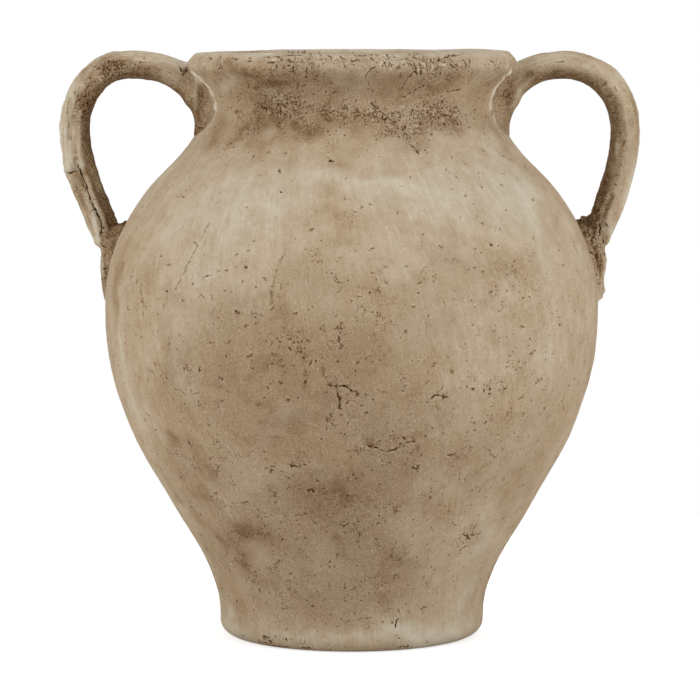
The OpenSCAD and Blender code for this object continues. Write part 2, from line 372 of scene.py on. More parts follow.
# %% Throw the outer and the inner skin
def thrown_mesh(name, points, sizes):
    """Mesh made by the tree from an outline of (radius, height) points."""
    mesh = bpy.data.meshes.new(name)
    mesh.from_pydata([(r, 0, z) for r, z in points],
                     [(i, i + 1) for i in range(len(points) - 1)], [])
    thing = bpy.data.objects.new(name, mesh)
    bpy.context.scene.collection.objects.link(thing)
    modifier = thing.modifiers.new("thrown skin", "NODES")
    modifier.node_group = skin_tree
    for key, value in sizes.items():
        modifier[skin_names[key]] = value
    graph = bpy.context.evaluated_depsgraph_get()
    baked = bpy.data.meshes.new_from_object(thing.evaluated_get(graph))
    thing.modifiers.remove(modifier)
    bpy.data.objects.remove(thing)
    return baked


SHARED_SIZES = {
    "Lump size": 62 * MM,
    "Lump height": 2.4 * MM,
    "Rim lean": 0.006,
    "Rim rise": -0.007,
    "Lean start": 290 * MM,
    "Lean end": 345 * MM,
    "Flat foot": 7 * MM,
    "Seed": 3.0,
}
OUTER_SIZES = {
    **SHARED_SIZES, "Columns": 520, "Row spacing": 1.6 * MM,
    "Ring spacing": 9 * MM, "Ring height": 0.5 * MM,
}
INNER_SIZES = {
    **SHARED_SIZES, "Columns": 130, "Row spacing": 2.6 * MM,
    "Ring spacing": 13 * MM, "Ring height": 2.2 * MM,
}
outer_skin = thrown_mesh("outer skin", outer_outline, OUTER_SIZES)
inner_skin = thrown_mesh("inner skin", inner_outline, INNER_SIZES)
print("skins:", len(outer_skin.polygons), "and", len(inner_skin.polygons), "faces")


# %% Numbers on the points of a mesh
def corners(mesh):
    """Vertex places of a mesh as an array."""
    flat = np.empty(len(mesh.vertices) * 3)
    mesh.vertices.foreach_get("co", flat)
    return flat.reshape(-1, 3)


def move_corners(mesh, places):
    """Puts the vertices of a mesh at new places."""
    mesh.vertices.foreach_set("co", places.ravel())
    mesh.update()


def corner_normals(mesh):
    """Vertex normals of a mesh as an array."""
    flat = np.empty(len(mesh.vertices) * 3, np.float32)
    mesh.vertex_normals.foreach_get("vector", flat)
    return flat.reshape(-1, 3).astype(float)


def values(mesh, name):
    """A float attribute of a mesh's vertices as an array."""
    flat = np.zeros(len(mesh.vertices))
    if name in mesh.attributes:
        mesh.attributes[name].data.foreach_get("value", flat)
    return flat


def store(mesh, name, amounts):
    """Keeps one number per point in a mesh's attribute."""
    layer = mesh.attributes.get(name) or mesh.attributes.new(name, "FLOAT", "POINT")
    layer.data.foreach_set("value", amounts)


facing_out = np.sum(corner_normals(outer_skin)[:, :2] * corners(outer_skin)[:, :2], axis=1)
print("share of the outer skin that faces outwards:", round(float(np.mean(facing_out > 0)), 2))

# %% [markdown]
# ## Handles and the clay round their roots
# Each handle is a rolled bar, luted on with a pad of soft clay at each end and then smeared, so bar
# and pads read as one lump of clay. Modelled apart, they would meet in hard creases. So the three
# solids of one side are remeshed into one skin, worked there, and parted again afterwards.

# %% Join a handle with its pads
SIDES = {"left": -1, "right": 1}
HANDLE_VOXEL = 0.75 * MM
HANDLE_SMOOTHING = 9
CRUMBS = {
    "left": [(127, 223, 2.2), (131, 219, 2.0), (123, 227, 2.4)],
    "right": [(579, 221, 1.8), (583, 218, 1.6), (590, 219, 3.0), (594, 213, 2.4), (585, 225, 3.2)],
}
TAIL_LUMPS = {
    "left": [(95, 243, 1.7)],
    "right": [(602, 280, 2.2), (602, 285, 2.3), (602, 290, 2.3), (600, 296, 2.0)],
}


def rolled_mesh(side):
    """One closed mesh over a handle, its two pads and the crumbs in the crotch below the loop."""
    solid = solid_bmesh([f"{side}_handle", f"{side}_neck_pad", f"{side}_shoulder_pad"])
    for x, y, radius in CRUMBS[side] + TAIL_LUMPS[side]:
        bmesh.ops.create_icosphere(solid, subdivisions=2, radius=radius * MM,
                                   matrix=Matrix.Translation(on_middle(x, y)))
    mesh = bpy.data.meshes.new(f"{side} clay")
    solid.to_mesh(mesh)
    solid.free()
    thing = bpy.data.objects.new(f"{side} clay", mesh)
    bpy.context.scene.collection.objects.link(thing)
    remesh = thing.modifiers.new("remesh", "REMESH")
    remesh.mode = "VOXEL"
    remesh.voxel_size = HANDLE_VOXEL
    remesh.use_smooth_shade = True
    smooth = thing.modifiers.new("smooth", "SMOOTH")
    smooth.iterations = HANDLE_SMOOTHING
    graph = bpy.context.evaluated_depsgraph_get()
    baked = bpy.data.meshes.new_from_object(thing.evaluated_get(graph))
    bpy.data.objects.remove(thing)
    return baked


rolled = {side: rolled_mesh(side) for side in SIDES}
for side, mesh in rolled.items():
    print(side, "handle with pads:", len(mesh.polygons), "faces")


# %% [markdown]
# ## Working the clay by hand
# Near a root, thumbs pushed the pad flat against the neck and scooped the wall round it, which left
# a hollow with a raised burr. Both are heights above the wall, so each point is measured from the
# wall's outline: how far round from the handle, how high, and how proud it stands.

# %% Measure a point from the wall
LEAST_RISE = 0.01 * MM
rising = outer_outline[:rim_index + 1]
rising_slope = np.gradient(rising[:, 0]) / np.maximum(np.gradient(rising[:, 1]), LEAST_RISE)


def wall_radius(z):
    """Radius of the wall's outside at each height."""
    return np.interp(z, rising[:, 1], rising[:, 0])


def wall_slope(z):
    """How fast the wall's radius grows with height, at each height."""
    return np.interp(z, rising[:, 1], rising_slope)


def from_wall(places, sign):
    """Distance round the wall from a handle, height, and how proud of the wall each point is."""
    x, y, z = places.T
    r = np.hypot(x, y)
    proud = (r - wall_radius(z)) / np.sqrt(1 + wall_slope(z) ** 2)
    return r * np.arctan2(y, sign * x), z, proud


def off_wall(places, amount):
    """The places moved square to the wall by an amount each."""
    x, y, z = places.T
    slope = wall_slope(z)
    steep = np.sqrt(1 + slope ** 2)
    r = np.maximum(np.hypot(x, y), SAME_PLACE)
    outwards = np.stack([x / r / steep, y / r / steep, -slope / steep], axis=1)
    return places + outwards * amount[:, None]


print("wall outside: widest", round(2 * rising[:, 0].max() / MM, 1), "mm across")

# %% Measure a point along a handle
HANDLE_AXES = {
    "left": [(205, 95), (190, 85), (172, 74), (150, 66), (130, 64), (108, 70), (90, 84), (79, 104),
             (75, 128), (76, 150), (82, 172), (91, 196), (101, 222), (106, 245), (108, 275), (110, 305)],
    "right": [(495, 97), (510, 88), (527, 76), (548, 67), (570, 65), (592, 72), (610, 88), (620, 108),
              (624, 130), (622, 152), (616, 176), (608, 200), (600, 225), (596, 245), (596, 275),
              (595, 305)],
}
AXIS_STEP = 1 * MM
AXIS_SMOOTHING = 8


def bar_axis(side):
    """Points at an even step along a handle's axis, in the plane of both handles."""
    seen = np.array([on_middle(x, y) for x, y in HANDLE_AXES[side]])[:, [0, 2]]
    return smoothed(resampled(seen, AXIS_STEP), AXIS_SMOOTHING)


def along_bar(places, side):
    """Distance along a handle, and turn round its axis, of each place."""
    axis = bar_axis(side)
    away = places[:, None, [0, 2]] - axis[None]
    nearest = np.argmin((away ** 2).sum(axis=2), axis=1)
    heading = np.gradient(axis, axis=0)
    heading /= np.linalg.norm(heading, axis=1)[:, None]
    square = np.stack([-heading[:, 1], heading[:, 0]], axis=1)[nearest]
    aside = (away[np.arange(len(places)), nearest] * square).sum(axis=1)
    return nearest * AXIS_STEP, np.arctan2(places[:, 1], aside)


for side in SIDES:
    print(side, "handle: axis", round(len(bar_axis(side)) * AXIS_STEP / MM), "mm long")


# %% Bed the roots and dish the pads
SPINE_HALF = (5.5 * MM, 10.5 * MM)
SPINE_Z = (300 * MM, 320 * MM)
PAD_FLARE_H = 13 * MM
PAD_FLARE_W = 13 * MM
PAD_FLARE_CURVE = 2.4
NECK_PAD_Z = (288 * MM, 340 * MM)
NECK_PAD_PROUD = 16 * MM
SCOOP_DEPTH = 1.8 * MM
DISH_UNDERCUT = 0.4 * MM
ROOT_FILL = {"left": 1.6 * MM, "right": 3.0 * MM}
ROOT_FILL_Z = 312 * MM
ROOT_FILL_HALF_H = 7 * MM
ROOT_FILL_HALF_W = 9 * MM
ROOT_FILL_STARTS = (0.5 * MM, 3 * MM)
ROOT_FILL_ENDS = (14 * MM, 18 * MM)
BEDDING = 3.5 * MM
BEDDING_ENDS = (0.2 * MM, 1.1 * MM)
TAIL_SLIM = {"left": 0.38, "right": 0.15}
TAIL_FOOT_Z = (203 * MM, 212 * MM)
TAIL_HEAD_Z = (230 * MM, 237 * MM)


def step(value, start, end):
    """Smooth step from 0 to 1, as an array."""
    t = np.clip((value - start) / (end - start), 0, 1)
    return t * t * (3 - 2 * t)


def bell(value, at, width):
    """1 at a value, easing to 0 on both sides, as an array."""
    return np.exp(-((value - at) / width) ** 2)


def root_moves(side, round_wall, z, proud):
    """How far each point of a handle's clay moves off the wall at the roots."""
    spine = SPINE_HALF[0] + (SPINE_HALF[1] - SPINE_HALF[0]) * step(z, *SPINE_Z)
    beside = np.clip((np.abs(round_wall) - spine) / PAD_FLARE_W, 0, 1)
    lowest = -SCOOP_DEPTH - DISH_UNDERCUT
    most = lowest + (PAD_FLARE_H - lowest) * (1 - beside) ** PAD_FLARE_CURVE
    on_pad = (z > NECK_PAD_Z[0]) & (z < NECK_PAD_Z[1]) & (beside > 0) & (proud < NECK_PAD_PROUD)
    dished = np.where(on_pad, np.minimum(0, most - proud), 0)
    under_bar = bell(z, ROOT_FILL_Z, ROOT_FILL_HALF_H) * bell(round_wall, 0, ROOT_FILL_HALF_W)
    filled = ROOT_FILL[side] * under_bar * step(proud, *ROOT_FILL_STARTS)
    filled *= 1 - step(proud, *ROOT_FILL_ENDS)
    bedded = -BEDDING * (1 - step(proud, *BEDDING_ENDS))
    in_tail = step(z, *TAIL_FOOT_Z) * (1 - step(z, *TAIL_HEAD_Z))
    slimmed = -TAIL_SLIM[side] * in_tail * np.maximum(proud, 0)
    return dished + bedded + filled + slimmed


print("neck pads run out", round((SCOOP_DEPTH + DISH_UNDERCUT) / MM, 1), "mm below the wall's outline")

# %% Roll marks and tears
BAR_R = 9 * MM
TORN_SIZE = 3.6 * MM
DRAGGED = (1.0, 1.0, 0.36)
TORN_RIDGES = 1.6
TORN_SINK = 0.4
TORN_WADS = 0.6
TORN_GRIT = 0.5
TORN_FOOT_Z = (205 * MM, 220 * MM)
TORN_HEAD_Z = (242 * MM, 262 * MM)
TORN_ENDS = {"left": (5 * MM, 10 * MM), "right": (9 * MM, 15 * MM)}


def lumpy(places, size, seed):
    """Slow noise from -1 to 1 over an array of places."""
    shift = Vector((seed, 2 * seed, 3 * seed))
    return np.array([noise.noise(Vector(p) / size + shift) for p in places])


def drawn_out(places, side, grain):
    """Noise drawn out along a handle, as rolling leaves it, by its sizes across and along."""
    run, turn = along_bar(places, side)
    across, along = grain
    drawn = np.stack([np.cos(turn) * BAR_R / across, np.sin(turn) * BAR_R / across, run / along], axis=1)
    return lumpy(drawn, 1.0, seed=4)


def torn_relief(places, side, z, proud):
    """Ridges and tears of the wad at the lower root, dragged down the wall, from about -1 to 1."""
    at_root = step(z, *TORN_FOOT_Z) * (1 - step(z, *TORN_HEAD_Z)) * (1 - step(proud, *TORN_ENDS[side]))
    dragged = places * DRAGGED
    ridges = TORN_RIDGES * np.abs(lumpy(dragged, TORN_SIZE, seed=8)) - TORN_SINK
    wads = TORN_WADS * lumpy(dragged, 2 * TORN_SIZE, seed=2)
    grit = TORN_GRIT * lumpy(places, TORN_SIZE / 2, seed=2)
    return at_root * (ridges + wads + grit)


print("torn wads from", round(TORN_FOOT_Z[0] / MM), "to", round(TORN_HEAD_Z[1] / MM), "mm up the wall")

# %% Work the clay of the handles
RELAX_Z = (288 * MM, 296 * MM)
RELAX_STARTS = (0.3 * MM, 2 * MM)
RELAX_ENDS = (16 * MM, 30 * MM)
RELAX_SHARE = 0.6
RELAX_ROUNDS = 60
CALM_ENDS = (18 * MM, 34 * MM)
ROOT_CALM = 0.75
WORKED_STARTS = (0.5 * MM, 4 * MM)
WRINKLES = {"left": 1.2 * MM, "right": 0.7 * MM}
WRINKLE_GRAIN = (5.5 * MM, 34 * MM)
STREAKINESS = {"left": 1.0, "right": 0.6}
STREAK_GRAIN = (1.7 * MM, 15 * MM)
HANDLE_LUMPS = {"left": (1.0 * MM, 0.5 * MM, 0.3 * MM), "right": (0.7 * MM, 0.3 * MM, 0.2 * MM)}
LUMP_SIZES = (24 * MM, 7 * MM, 2.8 * MM)
TORN = {"left": 0.9 * MM, "right": 1.2 * MM}
CRUMBLY = 0.75 * MM
CRUMBLY_SIZE = 1.9 * MM
CRUMBLY_REACH = 4.5 * MM
CRUMBLY_FAR = 2.5 * CRUMBLY_REACH


def relaxed(mesh, places, weight, rounds):
    """The places after moving each point towards the middle of its neighbours, by its weight."""
    ends = np.empty(len(mesh.edges) * 2, int)
    mesh.edges.foreach_get("vertices", ends)
    first, second = ends.reshape(-1, 2).T
    count = np.bincount(ends, minlength=len(places))[:, None]
    for i in range(rounds):
        around = np.zeros_like(places)
        np.add.at(around, first, places[second])
        np.add.at(around, second, places[first])
        places = places + weight[:, None] * (around / count - places)
    return places


def worked_handle(side):
    """Works one handle's clay: bedded roots, a smeared neck pad, roll marks, tears and crumbs."""
    mesh = rolled[side]
    places = corners(mesh)
    round_wall, z, proud = from_wall(places, SIDES[side])
    near_neck = step(z, *RELAX_Z)
    places = off_wall(places, root_moves(side, round_wall, z, proud))
    smeared = near_neck * (1 - step(proud, *RELAX_ENDS)) * step(proud, *RELAX_STARTS)
    places = relaxed(mesh, places, RELAX_SHARE * smeared, RELAX_ROUNDS)
    move_corners(mesh, places)

    calm = ROOT_CALM * near_neck * (1 - step(proud, *CALM_ENDS))
    clear = step(proud, *WORKED_STARTS) * (1 - calm)
    folds = clear * drawn_out(places, side, WRINKLE_GRAIN)
    torn = clear * torn_relief(places, side, z, proud)
    worked = WRINKLES[side] * folds + TORN[side] * torn
    for height, size in zip(HANDLE_LUMPS[side], LUMP_SIZES):
        worked += clear * height * lumpy(places, size, seed=5 + SIDES[side])
    for x, y, size in CRUMBS[side]:
        away = np.linalg.norm(places - np.array(on_middle(x, y)), axis=1)
        near = np.flatnonzero(away < CRUMBLY_FAR)
        fade = bell(away[near], 0, CRUMBLY_REACH)
        worked[near] += CRUMBLY * fade * lumpy(places[near], CRUMBLY_SIZE, seed=3)
    store(mesh, "fold", folds)
    store(mesh, "streak", STREAKINESS[side] * drawn_out(places, side, STREAK_GRAIN))
    store(mesh, "torn", torn)
    move_corners(mesh, places + corner_normals(mesh) * worked[:, None])


for side in SIDES:
    worked_handle(side)
    print(side, "clay worked, reach", round(np.abs(corners(rolled[side])[:, 0]).max() / MM, 1), "mm")


# %% [markdown]
# ## Creases in the bars
# Bending a damp bar folds it, and each fold has a soft ridge on both sides. A sculpting brush could
# draw the folds, but nobody could follow that in a script. So they are lines read off the photograph,
# and a smooth profile moves every point near a line in or out.

# %% Press creases into the bars
CREASES = {
    "left": [[(77, 160), (79, 168), (84, 182), (90, 196), (97, 212), (103, 228), (102, 240)],
             [(66, 174), (74, 171), (82, 174)], [(70, 100), (68, 118), (69, 138)], [(189, 66), (185, 73)],
             [(200, 88), (198, 104), (197, 122)]],
    "right": [[(531, 74), (519, 86), (510, 104)], [(602, 224), (606, 238), (604, 252)],
              [(594, 228), (590, 244), (596, 256)], [(587, 221), (591, 234), (600, 246)],
              [(598, 218), (601, 231), (608, 240)], [(611, 196), (604, 212), (600, 226)]],
}
CREASE_STEP = 0.7 * MM
CREASE_REACH = 1.5 * MM
CREASE_DEPTH = {"left": 0.9 * MM, "right": 1.0 * MM}
CREASE_WAVES = 0.6
CREASE_WAVE_SIZE = 6 * MM
SHOULDER_HEIGHT = 0.35
SHOULDER_AT = 1.9
SHOULDER_WIDTH = 0.8
CREASE_FOLD = 0.7


def surface_tree(mesh):
    """Search tree over a mesh's faces."""
    return BVHTree.FromPolygons(corners(mesh).tolist(), [p.vertices[:] for p in mesh.polygons])


def seen_at(tree, x, y):
    """Place on a surface under a pixel of the photograph, or None."""
    return tree.ray_cast(CAMERA_AT, photo_ray(x, y))[0]


def finder_of(places):
    """Search tree over places, which finds the nearest one."""
    finder = KDTree(len(places))
    for i, place in enumerate(places):
        finder.insert(place, i)
    finder.balance()
    return finder


def creased(side):
    """Presses soft grooves with raised shoulders into a bar, and keeps them in its folds."""
    mesh = rolled[side]
    tree = surface_tree(mesh)
    samples = []
    for line in CREASES[side]:
        seen = [seen_at(tree, x, y) for x, y in line]
        samples += list(resampled(np.array([p for p in seen if p]), CREASE_STEP))
    finder = finder_of(samples)
    places = corners(mesh)
    across = np.array([finder.find(p)[2] for p in places]) / CREASE_REACH
    wavy = 1 + CREASE_WAVES * lumpy(places, CREASE_WAVE_SIZE, seed=9)
    profile = wavy * (SHOULDER_HEIGHT * bell(across, SHOULDER_AT, SHOULDER_WIDTH) - bell(across, 0, 1))
    move_corners(mesh, places + corner_normals(mesh) * (CREASE_DEPTH[side] * profile)[:, None])
    store(mesh, "fold", np.clip(values(mesh, "fold") + CREASE_FOLD * profile, -1, 1))
    return len(samples)


for side in SIDES:
    print(side, "creases:", creased(side), "samples")


# %% [markdown]
# ## Thumb hollows at the neck
# Beside each upper root a thumb pressed a shallow hollow into the neck and pushed up a burr along its
# edge. A Boolean cut would leave a sharp rim, so the hollow is a depth in a formula: a rounded
# rectangle laid on the wall, which eases out at its edge. The burr then follows the same edge.

# %% Scoop the neck round the roots
SCOOP_Z = 320 * MM
SCOOP_HALF_H = 21 * MM
SCOOP_FRONT = {"left": 37 * MM, "right": 32 * MM}
SCOOP_BACK = {"left": 33 * MM, "right": 35 * MM}
SCOOP_SQUARENESS = 2.3
SCOOP_EASE = (0.84, 1.0)
SCOOP_LIP_Z = (337 * MM, 341 * MM)


def scoop(places, side):
    """Depth of the thumb's hollow in the wall beside a handle."""
    round_wall, z = from_wall(places, SIDES[side])[:2]
    half_w = np.where(round_wall < 0, SCOOP_FRONT[side], SCOOP_BACK[side])
    edge = (np.abs(round_wall / half_w) ** SCOOP_SQUARENESS
            + np.abs((z - SCOOP_Z) / SCOOP_HALF_H) ** SCOOP_SQUARENESS) ** (1 / SCOOP_SQUARENESS)
    return SCOOP_DEPTH * (1 - step(edge, *SCOOP_EASE)) * (1 - step(z, *SCOOP_LIP_Z))


def scoop_edge(side, start, end, count):
    """Places on the wall along part of a hollow's edge, by degrees from level towards the lip."""
    points = []
    for turn in np.linspace(math.radians(start), math.radians(end), count):
        power = 2 / SCOOP_SQUARENESS
        half_w = SCOOP_FRONT[side] if math.cos(turn) < 0 else SCOOP_BACK[side]
        z = SCOOP_Z + SCOOP_HALF_H * math.copysign(abs(math.sin(turn)) ** power, math.sin(turn))
        r = float(wall_radius(z))
        round_wall = half_w * math.copysign(abs(math.cos(turn)) ** power, math.cos(turn))
        x = SIDES[side] * r * math.cos(round_wall / r)
        points.append(Vector((x, r * math.sin(round_wall / r), z)))
    return points


for side in SIDES:
    width = SCOOP_FRONT[side] + SCOOP_BACK[side]
    print(side, "hollow:", round(width / MM), "by", round(2 * SCOOP_HALF_H / MM), "mm")


# %% [markdown]
# ## Cracks, slashes and pits
# Drying opens cracks, tools leave slashes and burnt-out grit leaves pits. The main ones were read
# off the photograph as pixels, and a ray puts each on the clay. They are cut into the mesh,
# which is first refined just round them, so that they hold in the meshes and not only in a picture.

# %% Where the marks are
# Each list of pixels is one mark; a pit is a pixel and a size in millimetres
LIP_SLASHES = [
    [(222, 55), (217, 68)], [(224, 62), (219, 70)], [(208, 58), (212, 58)], [(264, 57), (280, 57)],
    [(267, 62), (276, 62)], [(283, 56), (304, 55)], [(276, 64), (277, 69)], [(283, 67), (290, 66)],
    [(293, 66), (294, 74)], [(297, 66), (296, 71)], [(310, 65), (309, 69)], [(306, 75), (306, 79)],
    [(331, 58), (328, 55)], [(377, 65), (371, 69), (365, 75)], [(386, 54), (388, 59)],
    [(384, 62), (387, 68)], [(355, 56), (366, 55)], [(352, 61), (360, 59)], [(414, 62), (416, 74)],
    [(414, 71), (408, 78), (402, 89)], [(424, 60), (428, 70)], [(430, 58), (433, 66)],
    [(432, 62), (443, 58), (464, 54)], [(437, 60), (456, 68)], [(467, 63), (464, 70)],
    [(424, 85), (414, 91), (413, 97)], [(401, 97), (406, 97)], [(443, 78), (450, 81)],
    [(449, 92), (461, 89)], [(394, 57), (401, 58)], [(391, 116), (396, 111), (400, 114)],
    [(369, 103), (379, 109)], [(383, 114), (381, 119), (386, 120), (387, 116)], [(404, 58), (408, 60)],
    [(457, 64), (458, 68)], [(399, 112), (400, 119)], [(388, 118), (396, 123)],
    [(341, 106), (349, 110)], [(352, 118), (358, 115)], [(258, 103), (264, 108), (270, 107)],
    [(283, 104), (287, 112)], [(446, 98), (440, 104)], [(419, 62), (421, 75)], [(410, 63), (417, 76)],
    [(209, 57), (212, 60)], [(199, 60), (202, 58)], [(306, 66), (308, 74)], [(461, 58), (466, 66)],
    [(449, 58), (453, 62)], [(470, 60), (468, 68)], [(287, 60), (293, 62)], [(318, 62), (322, 60)],
    [(340, 57), (346, 60)], [(371, 58), (375, 61)], [(204, 66), (205, 70)], [(232, 58), (238, 59)],
    [(247, 62), (252, 61)], [(489, 60), (494, 63)],
]
LIP_CHIPS = [
    [(424, 64), (424, 72)], [(432, 64), (431, 72)], [(310, 66), (309, 71)], [(383, 58), (380, 68)],
    [(297, 60), (300, 62)], [(389, 60), (392, 66)], [(458, 62), (461, 66)], [(206, 63), (203, 64)],
    [(272, 60), (278, 60)], [(288, 70), (291, 72)], [(417, 66), (418, 74)], [(345, 63), (352, 62)],
    [(263, 54), (275, 54)], [(225, 58), (222, 66)], [(440, 64), (447, 66)], [(333, 60), (335, 57)],
]
BODY_CRACKS = [
    [(328, 385), (335, 386), (349, 385)], [(336, 386), (339, 398), (341, 411)],
    [(343, 386), (351, 389), (359, 395)], [(338, 335), (340, 343), (342, 347)],
    [(426, 403), (435, 395), (448, 397)], [(402, 435), (405, 439)], [(406, 442), (415, 442)],
    [(368, 446), (377, 448), (384, 452), (392, 450), (399, 448)], [(447, 456), (453, 455), (459, 458)],
    [(412, 467), (420, 469)], [(419, 465), (416, 471)], [(266, 468), (274, 471)],
    [(271, 466), (271, 473)], [(291, 466), (299, 466), (306, 464)],
    [(307, 490), (312, 489), (315, 493)], [(340, 525), (344, 526), (348, 524)],
    [(462, 534), (470, 539)], [(468, 533), (466, 541)], [(470, 536), (478, 531)],
    [(459, 551), (463, 547), (468, 546)], [(398, 610), (400, 615), (396, 624), (395, 629)],
    [(371, 315), (372, 312), (375, 315)], [(204, 277), (213, 274)], [(187, 439), (192, 446)],
    [(210, 343), (216, 343)], [(328, 157), (333, 163)], [(409, 144), (414, 148), (420, 155)],
    [(259, 643), (271, 645), (283, 647)], [(262, 636), (270, 638)], [(529, 355), (536, 350)],
    [(258, 641), (266, 643), (274, 644)], [(277, 645), (288, 647)], [(262, 638), (267, 639)],
    [(398, 647), (407, 647)], [(300, 647), (311, 648)], [(268, 641), (273, 640)],
    [(240, 634), (245, 637)],
]
SCRATCHES = [
    [(209, 223), (204, 234), (191, 258), (181, 279), (175, 291)],
    [(286, 250), (276, 271), (272, 289), (271, 306)], [(141, 283), (143, 304), (143, 316)],
    [(183, 163), (161, 182)], [(342, 622), (356, 620), (373, 617)], [(322, 365), (325, 377)],
    [(435, 395), (444, 386)], [(365, 75), (369, 86)], [(232, 504), (248, 501)],
]
PITS = [
    (331, 161, 1.6), (279, 171, 1.5), (281, 192, 1.3), (224, 149, 0.9), (254, 156, 0.9),
    (286, 153, 0.9), (218, 202, 0.7), (277, 218, 0.7), (246, 267, 1.1), (237, 254, 0.8),
    (227, 270, 0.8), (167, 291, 1.2), (182, 301, 1.0), (256, 287, 1.0), (296, 313, 1.2),
    (272, 309, 0.9), (236, 311, 1.2), (158, 314, 0.8), (213, 324, 0.7), (240, 328, 0.7),
    (245, 327, 0.6), (289, 339, 0.9), (294, 343, 0.9), (289, 348, 0.9), (308, 340, 0.9),
    (311, 363, 1.3), (316, 361, 1.1), (251, 354, 0.9), (200, 370, 1.2), (184, 369, 0.8),
    (167, 378, 0.9), (222, 379, 1.0), (226, 392, 0.7), (281, 384, 0.8), (305, 382, 0.9),
    (288, 400, 1.3), (298, 398, 0.9), (347, 403, 1.2), (327, 420, 0.8), (336, 425, 0.7),
    (184, 419, 0.8), (156, 430, 0.8), (221, 448, 0.8), (321, 439, 0.9), (291, 465, 1.0),
    (294, 476, 0.8), (276, 502, 0.8), (288, 488, 0.8), (283, 539, 0.8), (235, 549, 0.8),
    (458, 161, 0.8), (446, 169, 0.8), (410, 177, 0.8), (452, 189, 0.8), (454, 205, 0.6),
    (474, 204, 0.6), (483, 224, 0.6), (423, 235, 0.8), (440, 246, 0.9), (491, 245, 1.4),
    (498, 246, 0.9), (522, 226, 0.7), (526, 244, 0.8), (534, 238, 0.6), (373, 248, 0.8),
    (386, 267, 0.7), (406, 267, 0.7), (372, 273, 0.7), (482, 272, 0.7), (419, 283, 0.8),
    (418, 293, 0.9), (491, 292, 1.1), (507, 291, 0.9), (503, 302, 0.9), (523, 298, 0.9),
    (530, 297, 0.8), (563, 265, 0.9), (414, 307, 0.6), (429, 316, 0.6), (592, 268, 0.9),
    (391, 322, 0.9), (405, 331, 0.7), (473, 325, 0.7), (494, 332, 0.9), (524, 327, 0.9),
    (530, 339, 0.8), (510, 356, 0.9), (460, 347, 0.7), (412, 361, 0.8), (419, 361, 0.7),
    (357, 364, 0.9), (355, 371, 0.8), (467, 361, 0.7), (507, 367, 0.8), (516, 370, 0.9),
    (561, 368, 0.7), (403, 391, 0.9), (473, 389, 1.1), (490, 389, 1.2), (505, 389, 0.9),
    (524, 413, 0.8), (544, 409, 0.9), (367, 413, 0.8), (472, 418, 0.9), (486, 422, 1.2),
    (498, 435, 0.8), (362, 435, 0.7), (541, 465, 0.8), (430, 497, 1.1), (448, 513, 0.7),
    (379, 516, 0.9), (413, 520, 0.7), (396, 542, 0.6), (449, 571, 0.8), (503, 519, 0.8),
    (421, 609, 0.9), (383, 622, 0.9), (399, 638, 0.9), (407, 647, 1.5), (271, 642, 1.5),
    (286, 639, 1.3), (236, 631, 0.8), (427, 642, 0.9), (465, 633, 0.7), (413, 110, 1.3),
    (431, 107, 1.1), (442, 108, 1.1), (439, 117, 1.1), (446, 116, 1.2), (444, 124, 1.2),
    (457, 123, 1.1), (456, 118, 0.9), (421, 124, 1.1), (431, 134, 0.9), (429, 140, 0.8),
    (405, 127, 1.3), (399, 118, 1.2), (410, 93, 1.0), (477, 79, 0.7), (483, 86, 0.7), (267, 110, 1.3),
    (328, 131, 0.9), (330, 135, 0.8), (331, 58, 1.5),
]
HANDLE_CRACKS = [
    [(78, 164), (81, 173), (85, 182), (88, 191), (91, 201)],
    [(92, 203), (98, 214), (102, 227), (100, 235)], [(599, 223), (601, 229), (598, 237)],
    [(605, 238), (606, 246)], [(593, 226), (594, 235), (592, 241)], [(68, 173), (78, 171)],
    [(100, 243), (105, 248)], [(103, 269), (106, 268)], [(105, 278), (106, 279)],
    [(106, 285), (107, 288)], [(188, 69), (183, 76)], [(179, 66), (182, 72)], [(135, 76), (147, 77)],
    [(606, 223), (609, 228)], [(589, 251), (593, 254)], [(592, 267), (593, 270)],
    [(597, 300), (600, 304)], [(195, 125), (203, 128)], [(586, 226), (590, 236), (597, 240)],
    [(600, 232), (604, 244)], [(592, 243), (599, 248)],
]
HANDLE_TICKS = [
    [(69, 101), (68, 110), (67, 116)], [(68, 118), (69, 128)], [(69, 130), (70, 141)],
    [(103, 78), (109, 76)], [(113, 74), (118, 71)], [(96, 84), (99, 80)], [(85, 100), (83, 108)],
    [(88, 112), (86, 119)], [(106, 62), (111, 60)], [(121, 66), (126, 64)], [(612, 84), (617, 92)],
    [(556, 62), (566, 61)], [(618, 140), (616, 152)], [(610, 180), (606, 190)], [(88, 150), (91, 160)],
    [(140, 62), (150, 63)], [(87, 188), (83, 194)], [(95, 208), (90, 213)], [(99, 218), (104, 222)],
    [(92, 197), (96, 200)],
]
marks_seen = (LIP_SLASHES, LIP_CHIPS, BODY_CRACKS, SCRATCHES, PITS, HANDLE_CRACKS, HANDLE_TICKS)
print("marks read off the photograph:", [len(marks) for marks in marks_seen])

# %% Strokes and pits
STROKE_STEP = 0.35 * MM
WANDER = 0.7 * MM
WANDER_SIZE = 1.8 * MM
SWELL = 1.2
SWELL_SIZE = 1.2 * MM
THINNEST = 0.45
THICKEST = 1.4
TAPER_SAMPLES = 5
TIP_REACH = 0.6
LEAST_SHADE = 0.45
SWOLLEN_SHADE = 0.5
PIT_CORE = (0.8, 0.7, 1.0)
PIT_SPUR = (0.5, 0.4, 0.85)
PIT_SPURS = 3
SPUR_REACH = 1.9
SPUR_SHIFT = 7


